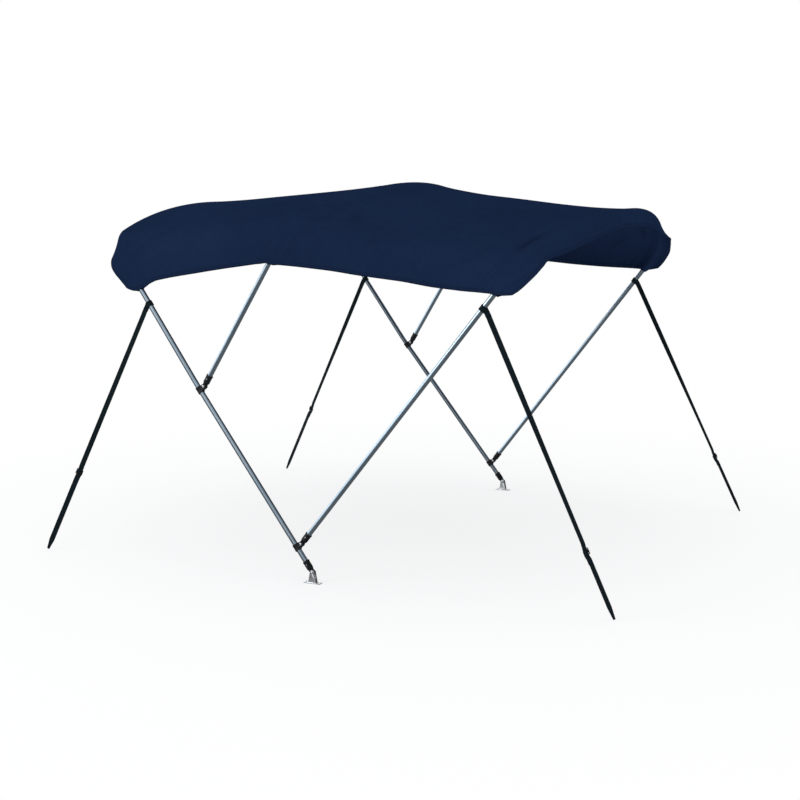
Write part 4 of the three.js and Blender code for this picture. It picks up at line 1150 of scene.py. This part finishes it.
def pocket_grid(before, tube, after, axis_points):
    """A pocket's strip: sewn columns, its turn round the tube, and sewn columns again."""
    before, after = [against_canopy(c) for c in before], [against_canopy(c) for c in after]
    tube = finished_rows(tube)
    bridge = np.linspace(0, 1, POCKET_BRIDGE_COLUMNS + 2)[1:-1]
    grid = np.stack([
        *before, *[lerp(before[-1], tube[:, 0], t) for t in bridge], *np.moveaxis(tube, 1, 0),
        *[lerp(tube[:, -1], after[0], t) for t in bridge], *after,
    ], axis=1)
    low, high = len(before), grid.shape[1] - len(after)
    for _ in range(POCKET_SMOOTHINGS):
        grid[:, low:high] = (
            grid[:, low:high] * 0.5 + grid[:, low - 1:high - 1] * 0.25 + grid[:, low + 1:high + 1] * 0.25
        )
    # The strip stays clear of the tube
    axis = finished_rows(axis_points[:, None])
    tangents = unit(np.gradient(axis[:, 0], axis=0))[:, None]
    offset = grid[:, low:high] - axis
    offset = offset - tangents * dot(offset, tangents)
    size = np.linalg.norm(offset, axis=-1, keepdims=True)
    least = TUBE_RADIUS + CLOTH / 2 + POCKET_TUBE_GAP
    grid[:, low:high] += offset / size * np.maximum(0, least - size)
    return grid


def add_pocket(name, grid):
    middle = grid.shape[1] // 2
    uv = np.stack([runs(grid, 1, middle), runs(grid, 0, 0)], -1) * MM
    thing = closed_sheet("cloth_" + name, grid, grid_normals(grid), CLOTH / 2, CLOTH / 2, uv)
    finish_piece(thing, POCKET_CLOTH, "pocket_cloth", name)
    return thing


def panel_seam(name, low, high):
    """Columns of a panel whose place lies from low to high."""
    start = name + "_panel_"
    return [
        i for i, column in enumerate(column_names)
        if column.startswith(start) and low <= float(column[len(start):]) <= high
    ]


def end_pocket(name, edge, seam):
    turn = np.arccos(np.clip(-dot(edge["inner"], edge["hang"]), -1, 1)) + math.radians(END_POCKET_OVERTURN)
    shifted = edge["point"] + edge["down"] * edge["fade"] * edge["ear"]
    names = ["%s_hem_%g" % (name, d) for d in HEM_DISTANCES[-2:]] + ["%s_flap_%g" % (name, 1 / FLAP_COLUMNS)]
    tube = under_tube(shifted, edge["hang"], -edge["outer"], 0.0, turn)
    return pocket_grid([column_at[n] for n in names], tube, seam, shifted)


rear_pocket = end_pocket("rear", rear_edge, panel_seam("rear", SEAM_START, SEAM_END))
front_seam = panel_seam("front", 1 - SEAM_END, 1 - SEAM_START)[::-1]
front_pocket = end_pocket("front", front_edge, front_seam)[:, ::-1]
middle_under = -middle_out
middle_first = -np.cross(middle_under, middle_tangent)
middle_pocket = pocket_grid(
    panel_seam("rear", 1 - SEAM_END, 1 - SEAM_START),
    under_tube(middle_point, middle_first, middle_under, *map(math.radians, MIDDLE_POCKET_TURN)),
    panel_seam("front", SEAM_START, SEAM_END), middle_point,
)
pockets = [
    add_pocket("pocket_rear", rear_pocket), add_pocket("pocket_middle", middle_pocket),
    add_pocket("pocket_front", front_pocket),
]


# ---- Sewing ----

def stitches(name, seams, pitch=STITCH_PITCH, length=STITCH_LENGTH, radius=THREAD_RADIUS):
    """Short raised stitches along seams, each a line of points and their normals."""
    centres, along_seam, outward = [], [], []
    for line, normals in seams:
        at = np.arange(pitch / 2, run_of(line)[-1], pitch)
        if len(at) == 0:
            continue
        before, after = along_line(line, at - 0.5), along_line(line, at + 0.5)
        centres.append((before + after) / 2)
        along_seam.append(unit(after - before))
        outward.append(unit(along_line(line, at, normals)))
    centre, ahead, out = (np.concatenate(a) for a in (centres, along_seam, outward))
    side = np.cross(ahead, out)
    ring = [(0.0, 1.0), (0.87, 0.35), (0.7, -0.7), (-0.7, -0.7), (-0.87, 0.35)]
    stations = [(-0.5, 0.35, -0.25), (-0.25, 1.0, 0.2), (0.25, 1.0, 0.2), (0.5, 0.35, -0.25)]
    points = np.stack([
        centre + ahead * length * place + side * radius * size * x + out * radius * (size * y + rise)
        for place, size, rise in stations for x, y in ring
    ], axis=1)
    faces, size = ring_faces(len(stations), len(ring)), len(stations) * len(ring)
    every = [tuple(i + size * n for i in f) for n in range(len(points)) for f in faces]
    return mesh_object(name, in_frame(points.reshape(-1, 3)), every)


def canopy_line(column=None, row=None, outside=True, trim=0):
    """A line of the canopy's outer or under face along a column or a row, with its normals."""
    if row is None:
        pick = (slice(trim, row_count - trim), column)
    else:
        pick = (row, slice(trim, column_count - trim))
    reach = thick_out[pick] if outside else -thick_in[pick]
    normals = canopy_normals[pick] * (1 if outside else -1)
    return canopy_grid[pick] + canopy_normals[pick] * reach[..., None], normals


stitch_line = HEM_DISTANCES.index(STITCH_INSET)
hem_seams = []
for outside in (True, False):
    for r in (stitch_line, row_count - 1 - stitch_line):
        hem_seams.append(canopy_line(row=r, outside=outside, trim=4))
    for c in (stitch_line, column_count - 1 - stitch_line):
        hem_seams.append(canopy_line(column=c, outside=outside, trim=4))
hem_thread = finish_piece(stitches("hem_stitches", hem_seams), THREAD, "canopy_cloth")
pocket_thread = finish_piece(
    stitches("pocket_stitches", [canopy_line(column=column_at[n], trim=3) for n in SEAM_COLUMNS]), THREAD,
    "canopy_cloth",
)


# ---- Fittings ----

def local_mesh(name, points, faces):
    mesh = bpy.data.meshes.new(name)
    mesh.from_pydata([tuple(p) for p in points], [], faces)
    face_outward(mesh)
    return linked(name, mesh)


def turned(profile, sides, lying=False):
    """Lathe about local Z from (radius, height) pairs, or about local Y, with flat ends."""
    points = []
    for radius, height in profile:
        for k in range(sides):
            angle = 2 * math.pi * k / sides
            x, y, z = radius * math.cos(angle), radius * math.sin(angle), height
            points.append((x, z, -y) if lying else (x, y, z))
    return local_mesh("turned", points, ring_faces(len(profile), sides))


def rod(radius, start, end, sides, lying=False):
    return turned([(radius, start), (radius, end)], sides, lying)


def moved_by(thing, x=0.0, z=0.0):
    thing.data.transform(Matrix.Translation((x, 0.0, z)))
    return thing


def prism(outline, thickness, place, axis="y"):
    """Flat plate from an outline in local X and Z, or in X and Y, its thickness centred on a place."""
    low, high = place - thickness / 2, place + thickness / 2
    count = len(outline)
    if axis == "y":
        points = [(u, d, v) for d in (low, high) for u, v in outline]
    else:
        points = [(u, v, d) for d in (low, high) for u, v in outline]
    faces = [tuple(range(count)), tuple(range(2 * count - 1, count - 1, -1))]
    faces += [(i, (i + 1) % count, count + (i + 1) % count, count + i) for i in range(count)]
    return local_mesh("prism", points, faces)


def arc(x, y, radius, start, end, steps):
    return [
        (x + radius * math.cos(math.radians(a)), y + radius * math.sin(math.radians(a)))
        for a in np.linspace(start, end, steps + 1)
    ]


def rounded_rectangle(width, height, radius, steps=6):
    x, y = width / 2 - radius, height / 2 - radius
    corners = ((x, y, 0), (-x, y, 90), (-x, -y, 180), (x, -y, 270))
    return [p for cx, cy, start in corners for p in arc(cx, cy, radius, start, start + 90, steps)]


def carved(name, base, joins, cuts, bevel, angle=32):
    """One solid from overlapping ones, with holes cut and its edges softened, in metres."""
    for kind, tools in (("UNION", joins), ("DIFFERENCE", cuts)):
        for tool in tools:
            change = base.modifiers.new("shape", "BOOLEAN")
            change.operation = kind
            change.solver = "EXACT"
            change.object = tool
    soften = base.modifiers.new("soften", "BEVEL")
    soften.width = bevel
    soften.segments = 2
    soften.limit_method = "ANGLE"
    soften.angle_limit = math.radians(angle)
    bpy.context.view_layer.update()
    mesh = bpy.data.meshes.new_from_object(base.evaluated_get(bpy.context.evaluated_depsgraph_get()))
    mesh.name = name
    for thing in (base, *joins, *cuts):
        bpy.data.objects.remove(thing, do_unlink=True)
    mesh.transform(Matrix.Scale(MM, 4))
    mesh.polygons.foreach_set("use_smooth", [True] * len(mesh.polygons))
    mesh.set_sharp_from_angle(angle=math.radians(38))
    return mesh


def placed(name, mesh, origin, z_axis, near_x, material, slot, node):
    """A fitting stood at a point with its local Z along one direction and its local X near another."""
    z_axis = unit(z_axis)
    y_axis = unit(np.cross(z_axis, near_x))
    x_axis = np.cross(y_axis, z_axis)
    thing = linked(name, mesh)
    turn = np.eye(4)
    turn[:3, 0], turn[:3, 1], turn[:3, 2], turn[:3, 3] = x_axis, y_axis, z_axis, in_frame(origin)
    thing.matrix_world = Matrix(turn.tolist())
    return finish_piece(thing, material, slot, node)


def bolt_bore():
    return rod(BOLT_HOLE, -20, 20, 24, True)


def slide_mesh():
    outline = [(0, -JAW_RADIUS), *arc(JAW_REACH, 0, JAW_RADIUS, -90, 90, 20), (0, JAW_RADIUS)]
    cheek = (JAW_GAP + JAW_CHEEK) / 2
    half = SLIDE_LENGTH / 2
    body = turned([
        (SLIDE_RADIUS - 0.7, -half), (SLIDE_RADIUS, -half + 0.7), (SLIDE_RADIUS, -half + 3.2),
        (SLIDE_RADIUS - 0.6, -half + 3.9), (SLIDE_RADIUS - 0.6, half - 3.9), (SLIDE_RADIUS, half - 3.2),
        (SLIDE_RADIUS, half - 0.7), (SLIDE_RADIUS - 0.7, half),
    ], 48)
    return carved(
        "slide", body,
        [prism(outline, JAW_CHEEK, cheek), prism(outline, JAW_CHEEK, -cheek)],
        [rod(BORE_RADIUS, -SLIDE_LENGTH, SLIDE_LENGTH, 48), moved_by(bolt_bore(), x=JAW_REACH)],
        bevel=0.55,
    )


def eye_mesh():
    collar = EYE_LENGTH - EYE_COLLAR_LENGTH
    socket = turned([
        (8, 13), (EYE_RADIUS - 1.2, 14.6), (EYE_RADIUS, 17), (EYE_RADIUS, collar - 0.4),
        (EYE_COLLAR_RADIUS, collar + 0.6), (EYE_COLLAR_RADIUS, EYE_LENGTH - 0.9),
        (EYE_COLLAR_RADIUS - 0.9, EYE_LENGTH),
    ], 48)
    tongue = [(TONGUE_RADIUS, EYE_BORE_START - 3), *arc(0, 0, TONGUE_RADIUS, 0, -180, 20),
              (-TONGUE_RADIUS, EYE_BORE_START - 3)]
    return carved(
        "eye_end", socket, [prism(tongue, TONGUE, 0)],
        [
            rod(BORE_RADIUS, EYE_BORE_START, EYE_LENGTH + 20, 48), bolt_bore(),
            moved_by(rod(SCREW_HOLE, -EYE_RADIUS - 4, -EYE_RADIUS + 4, 20, True), z=SCREW_PLACE),
        ], bevel=0.5,
    )


def bolt_mesh(grip):
    """Bolt along local Y: a domed head with a hex socket at -Y, and a hex nut at +Y."""
    face = grip / 2 + BOLT_PLAY
    rim = face + BOLT_HEAD_HEIGHT
    curve = ((0.5, 1.0), (0.66, 0.97), (0.8, 0.86), (0.91, 0.68), (0.98, 0.42), (1.0, 0.22), (1.0, 0.0))
    dome = [(BOLT_HEAD_RADIUS * out, -face - BOLT_HEAD_HEIGHT * up) for out, up in curve]
    shaft = turned([*dome, (BOLT_RADIUS, -face + 0.01), (BOLT_RADIUS, rim + 0.6)], 36, True)
    nut = turned([
        (BOLT_HEAD_RADIUS - 0.1, face), (BOLT_HEAD_RADIUS, face + 0.5), (BOLT_HEAD_RADIUS, rim - 0.5),
        (BOLT_HEAD_RADIUS - 0.5, rim),
    ], 6, True)
    return carved(
        "bolt", shaft, [nut], [rod(HEX_SOCKET_RADIUS, -rim - 1, -rim + 1.7, 6, True)], bevel=0.22, angle=25,
    )


def screw_mesh():
    start = EYE_RADIUS + 0.9 - SCREW_LENGTH
    end = start + SCREW_LENGTH
    body = turned([
        (SCREW_RADIUS, -start), (SCREW_RADIUS, -end + 0.4), (SCREW_RADIUS - 0.4, -end),
    ], 28, True)
    socket = rod(SCREW_SOCKET_RADIUS, -end - 1, -end + 1.4, 6, True)
    for thing in (body, socket):
        moved_by(thing, z=SCREW_PLACE)
    return carved("set_screw", body, [], [socket], bevel=0.12)


def hinge_mesh():
    base = prism(rounded_rectangle(HINGE_LENGTH, HINGE_WIDTH, 4), HINGE_PLATE, HINGE_PLATE / 2, "z")
    ear = [(-HINGE_EAR_FOOT, HINGE_PLATE / 2), (HINGE_EAR_FOOT, HINGE_PLATE / 2),
           *arc(0, FOOT_HEIGHT, HINGE_EAR_RADIUS, 0, 180, 20)]
    place = (HINGE_GAP + HINGE_EAR) / 2
    cuts = [moved_by(bolt_bore(), z=FOOT_HEIGHT)]
    for side in (-1, 1):
        x = side * HINGE_HOLE_SPACING / 2
        cuts.append(moved_by(turned([
            (HINGE_HOLE_RADIUS, -1), (HINGE_HOLE_RADIUS, 0.7), (HINGE_SINK_RADIUS, HINGE_PLATE - 0.1),
            (HINGE_SINK_RADIUS, HINGE_PLATE + 2),
        ], 28), x=x))
    ears = [prism(ear, HINGE_EAR, place), prism(ear, HINGE_EAR, -place)]
    return carved("deck_hinge", base, ears, cuts, bevel=0.45)


slide, eye, screw = slide_mesh(), eye_mesh(), screw_mesh()
jaw_bolt = bolt_mesh(JAW_GAP + 2 * JAW_CHEEK)
hinge_bolt = bolt_mesh(HINGE_GAP + 2 * HINGE_EAR)
hinge = hinge_mesh()


def add_eye(name, bolt, axis, side):
    toward = np.array([-side, 0.0, 0.0])
    placed("end_" + name, eye, bolt, axis, toward, NYLON, "nylon", "eye_" + name)
    placed("grub_" + name, screw, bolt, axis, toward, STEEL, "stainless", "set_screw_" + name)


def add_slide(name, distance, bow, side):
    point, axis, out, pivot = slide_pivot(distance, side)
    placed("jaw_" + name, slide, point, axis, out, NYLON, "nylon", "slide_" + name)
    placed("pin_" + name, jaw_bolt, pivot, axis, -side * out, STEEL, "stainless", "bolt_" + name)
    add_eye(name, *bolted_leg(bow, side), side)


for side_name, side in (("near", -1), ("far", 1)):
    foot, foot_axis = lower_leg(0.0, side)
    deck = np.array([FOOT_X, side * FOOT_HALF_SPAN, 0.0])
    placed("hinge_" + side_name, hinge, deck, UP, FORWARD, STEEL, "stainless", "deck_hinge_" + side_name)
    placed("pin_foot_" + side_name, hinge_bolt, foot, UP, -side * FORWARD, STEEL, "stainless",
           "bolt_foot_" + side_name)
    add_eye("foot_" + side_name, foot, foot_axis, side)
    add_slide("front_" + side_name, LOW_SLIDE_DISTANCE, BOWS["front"], side)
    add_slide("middle_" + side_name, HIGH_SLIDE_DISTANCE, BOWS["middle"], side)


# ---- Straps ----

def strap_line(bow_name, side, loop_height, end_x, end_y, adjuster_height, turn):
    """Frame of the line a strap hangs on, by distance below the axis of its leg."""
    outward = -1 if bow_name == "main" else 1
    point, axis = leg_at(BOWS[bow_name], loop_height, side)
    down = squared_to(np.cross(axis, ACROSS) * -outward, axis)
    knee = point + down * (WEB_BEND_START + WEB_BEND / 2)
    straight = np.array([end_x, side * end_y, STRAP_END_HEIGHT]) - knee
    length = WEB_BEND_START + WEB_BEND + np.linalg.norm(straight) - WEB_BEND / 2
    straight = unit(straight)
    adjuster = length - (adjuster_height - STRAP_END_HEIGHT) / -straight[2]

    def at(s):
        part = min(max((s - WEB_BEND_START) / WEB_BEND, 0.0), 1.0)
        tangent = unit(lerp(down, straight, part))
        if s < WEB_BEND_START:
            place = point + down * s
        else:
            place = (
                point + down * (WEB_BEND_START + WEB_BEND * (part - part * part / 2))
                + straight * (WEB_BEND * part * part / 2 + max(0.0, s - WEB_BEND_START - WEB_BEND))
            )
        twist = float(smootherstep(s, WEB_BEND_START, adjuster - ADJUSTER_LENGTH)) * math.radians(turn)
        wide = squared_to(axis, tangent)
        wide = wide * math.cos(twist) + np.cross(tangent, wide) * math.sin(twist)
        return place, wide, np.cross(wide, tangent)

    return at, length, adjuster


def webbing_path(length, adjuster):
    """Middle line of the webbing in its own plane, as pairs of distance down and offset."""
    ply = WEB_THICKNESS + SEAM_GAP
    against = ADJUSTER_THICKNESS / 2 + SEAM_GAP + WEB_THICKNESS / 2
    beside = ADJUSTER_BAR / 2 + SEAM_GAP + WEB_THICKNESS / 2
    clear = ADJUSTER_LENGTH / 2 + ADJUSTER_CLEAR
    join = adjuster + clear + WEB_SETTLE
    split = adjuster - clear - WEB_SETTLE
    path = [(WEB_JOIN, -WEB_HALF_PLY), (WEB_RING * 1.5, -WEB_HALF_PLY)]
    turns = np.radians(np.linspace(-150, 150, 25))
    path += [(-WEB_RING * math.cos(a), WEB_RING * math.sin(a)) for a in turns]
    path += [(WEB_RING * 1.5, WEB_HALF_PLY), (WEB_JOIN, WEB_HALF_PLY)]
    path += [(s, 0.0) for s in np.linspace(WEB_JOIN + WEB_SETTLE, split, 60)]
    path += [
        (adjuster - clear, -against), (adjuster - beside - ply, -against),
        (adjuster - beside - ply, against + ply), (adjuster + beside + ply, against + ply),
        (adjuster + beside + ply, -against), (adjuster + clear, -against), (join, WEB_HALF_PLY),
    ]
    path += [(s, WEB_HALF_PLY) for s in np.linspace(join, length - STRAP_TAPER, 20)[1:]]
    path += [
        (length - 1.6, WEB_HALF_PLY), (length - 0.75, WEB_HALF_PLY / 2), (length - 0.75, -WEB_HALF_PLY / 2),
        (length - 1.6, -WEB_HALF_PLY),
    ]
    path += [(s, -WEB_HALF_PLY) for s in np.linspace(length - STRAP_TAPER, join, 20)]
    path += [
        (adjuster + clear, -against - ply), (adjuster + beside, -against - ply), (adjuster + beside, against),
        (adjuster - beside, against), (adjuster - beside, -against - 2 * ply),
        (adjuster + clear, -against - 2 * ply), (join, -WEB_HALF_PLY - ply),
        (join + WEB_TAIL, -WEB_HALF_PLY - ply),
    ]
    return [np.array(p, float) for p in path]


def eased(path, radius):
    """The path with its corners rounded."""
    found = [path[0]]
    for before, here, after in zip(path, path[1:], path[2:]):
        a, b = unit(before - here), unit(after - here)
        if a @ b < -0.97:
            found.append(here)
            continue
        size = min(radius, 0.42 * np.linalg.norm(before - here), 0.42 * np.linalg.norm(after - here))
        start, end = here + a * size, here + b * size
        found += corner_curve(start, here, end, (0, 0.25, 0.5, 0.75, 1))
    return [*found, path[-1]]


def webbing_mesh(name, path, at, width_at):
    """Closed webbing swept along its middle line."""
    path = np.array(path)
    points, uv = [], []
    for here, heading, run in zip(path, unit(np.gradient(path, axis=0)), run_of(path)):
        half = width_at(here[0]) / 2
        across = np.array([-heading[1], heading[0]])
        for x, y in WEB_SECTION:
            place, wide, out = at(here[0] + across[0] * y * WEB_THICKNESS / 2)
            points.append(place + out * (here[1] + across[1] * y * WEB_THICKNESS / 2) + wide * half * x)
            uv.append((half * x * MM + (BACK_UV_SHIFT if y < 0 else 0.0), run * MM))
    thing = mesh_object(name, in_frame(points), ring_faces(len(path), len(WEB_SECTION)), uv)
    face_outward(thing.data)
    thing.data.set_sharp_from_angle(angle=math.radians(50))
    return thing


def adjuster_mesh():
    slot_length = (ADJUSTER_LENGTH - 3 * ADJUSTER_BAR) / 2
    cuts = []
    for side in (-1, 1):
        hole = prism(rounded_rectangle(ADJUSTER_SLOT_WIDTH, slot_length, 0.8, 3), ADJUSTER_THICKNESS * 3, 0)
        cuts.append(moved_by(hole, z=side * (ADJUSTER_BAR + slot_length) / 2))
    plate = prism(rounded_rectangle(ADJUSTER_WIDTH, ADJUSTER_LENGTH, 3), ADJUSTER_THICKNESS, 0)
    return carved("adjuster", plate, [], cuts, bevel=0.55)


def box_seam(at, low, high, half, offset):
    """Sewn box with a cross, on the face of the webbing at an offset."""
    corners = [(low, -half), (high, -half), (high, half), (low, half), (low, -half), (high, half),
               (high, -half), (low, half)]
    lines = []
    for (s0, w0), (s1, w1) in zip(corners, corners[1:]):
        spots = [at(lerp(s0, s1, t)) for t in np.linspace(0, 1, 9)]
        wides = [lerp(w0, w1, t) for t in np.linspace(0, 1, 9)]
        line = np.array([p + w * k + o * offset for (p, w, o), k in zip(spots, wides)])
        lines.append((line, np.array([o * np.sign(offset) for _, _, o in spots])))
    return lines


adjuster = adjuster_mesh()
strap_seams = []
for name, *row in STRAP_TABLE:
    at, length, adjuster_place = strap_line(*row)
    taper = length - STRAP_TAPER

    def width_at(s):
        return lerp(WEB_WIDTH, STRAP_TIP_WIDTH, min(max((s - taper) / STRAP_TAPER, 0.0), 1.0))

    path = eased(webbing_path(length, adjuster_place), 1.3)
    web = webbing_mesh("web_" + name, path, at, width_at)
    finish_piece(web, WEBBING, "webbing", "strap_" + name)
    place, wide, out = at(adjuster_place)
    placed("buckle_" + name, adjuster, place, np.cross(out, wide), wide, NYLON, "nylon", "adjuster_" + name)
    face = WEB_HALF_PLY + WEB_THICKNESS / 2 + 0.1
    deep = face + WEB_THICKNESS + SEAM_GAP
    tail = adjuster_place + ADJUSTER_LENGTH / 2 + ADJUSTER_CLEAR + WEB_SETTLE
    loop_box = (WEB_RING * 1.5 + 3, WEB_JOIN - 2.5, WEB_WIDTH / 2 - 3)
    tail_box = (tail + 1.5, tail + WEB_TAIL - 2, WEB_WIDTH / 2 - 3)
    for box, offset in ((loop_box, -face), (loop_box, face), (tail_box, -deep), (tail_box, face)):
        strap_seams += box_seam(at, *box, offset)
finish_piece(
    stitches("strap_stitches", strap_seams, WEB_STITCH_PITCH, WEB_STITCH_LENGTH, WEB_THREAD_RADIUS), THREAD,
    "webbing",
)


# ---- Camera, floor, background and light ----

def make_camera():
    data = bpy.data.cameras.new("camera")
    data.sensor_width = SENSOR_WIDTH
    data.lens = CAMERA_LENS
    camera = linked("camera", data)
    camera.location = CAMERA_PLACE
    camera.rotation_euler = (math.radians(90 - CAMERA_PITCH), 0.0, math.radians(CAMERA_TURN))
    bpy.context.scene.camera = camera


def make_floor():
    """Large pale floor that fades into the background away from the object."""
    mesh = bpy.data.meshes.new("floor")
    work = bmesh.new()
    bmesh.ops.create_grid(work, x_segments=24, y_segments=24, size=FLOOR_SIZE)
    work.to_mesh(mesh)
    work.free()
    floor = linked("floor", mesh)
    floor.location = (0.0, 0.0, -FLOOR_DROP)
    g = Graph("pale_floor")
    place = g.place()
    away = g.add("ShaderNodeVectorMath", {0: place}, output=1, operation="LENGTH")
    fade = g.fit(away, *FLOOR_FADE, FLOOR_GLOW, 1.0)
    g.set(Base_Color=FLOOR_COLOUR, Roughness=1.0, Specular_IOR_Level=0.0)
    glow = g.tree.nodes.new("ShaderNodeEmission")
    rays = g.tree.nodes.new("ShaderNodeLightPath").outputs
    glow.inputs[0].default_value = BACKGROUND
    g.put(glow.inputs[1], g.fit(rays["Is Glossy Ray"], 0.0, 1.0, 1.0, GLOSSY_FLOOR))
    fade = g.math("MAXIMUM", fade, rays["Is Glossy Ray"])
    mix = g.tree.nodes.new("ShaderNodeMixShader")
    g.put(mix.inputs[0], fade)
    g.tree.links.new(g.shader.outputs[0], mix.inputs[1])
    g.tree.links.new(glow.outputs[0], mix.inputs[2])
    g.tree.links.new(mix.outputs[0], g.tree.nodes["Material Output"].inputs[0])
    floor.data.materials.append(g.material)


def make_key_light():
    data = bpy.data.lights.new("key", "AREA")
    data.shape = "SQUARE"
    data.size = KEY_SIZE
    data.energy = KEY_POWER
    light = linked("key", data)
    light.location = KEY_PLACE
    light.rotation_euler = (Vector(KEY_TARGET) - Vector(KEY_PLACE)).to_track_quat("-Z", "Y").to_euler()


def make_world():
    """White behind the object, an even soft room for dull surfaces and a room with a dark side for metal."""
    world = bpy.data.worlds.new("studio")
    bpy.context.scene.world = world
    world.use_nodes = True
    tree = world.node_tree
    tree.nodes.clear()

    def put(kind, **settings):
        node = tree.nodes.new(kind)
        for key, value in settings.items():
            setattr(node, key, value)
        return node

    direction = put("ShaderNodeTexCoord").outputs["Generated"]

    def shaded(bright_side, darkest, low, high, interpolation):
        across = put("ShaderNodeVectorMath", operation="DOT_PRODUCT")
        tree.links.new(direction, across.inputs[0])
        across.inputs[1].default_value = bright_side
        shade = put("ShaderNodeMapRange", interpolation_type=interpolation)
        tree.links.new(across.outputs["Value"], shade.inputs["Value"])
        shade.inputs["From Min"].default_value = darkest
        shade.inputs["To Min"].default_value, shade.inputs["To Max"].default_value = low, high
        return shade.outputs[0]

    strength = put("ShaderNodeMix")
    rays = put("ShaderNodeLightPath").outputs
    tree.links.new(rays["Is Glossy Ray"], strength.inputs[0])
    tree.links.new(shaded(*DULL_ROOM, "LINEAR"), strength.inputs[2])
    tree.links.new(shaded(*GLOSSY_ROOM, "SMOOTHSTEP"), strength.inputs[3])
    seen, light = put("ShaderNodeBackground"), put("ShaderNodeBackground")
    seen.inputs[0].default_value = BACKGROUND
    light.inputs[0].default_value = ROOM
    tree.links.new(strength.outputs[0], light.inputs[1])
    mix, out = put("ShaderNodeMixShader"), put("ShaderNodeOutputWorld")
    tree.links.new(rays["Is Camera Ray"], mix.inputs[0])
    tree.links.new(light.outputs[0], mix.inputs[1])
    tree.links.new(seen.outputs[0], mix.inputs[2])
    tree.links.new(mix.outputs[0], out.inputs[0])


make_camera()
make_floor()
make_world()
make_key_light()
bpy.context.scene.view_settings.view_transform = "Standard"
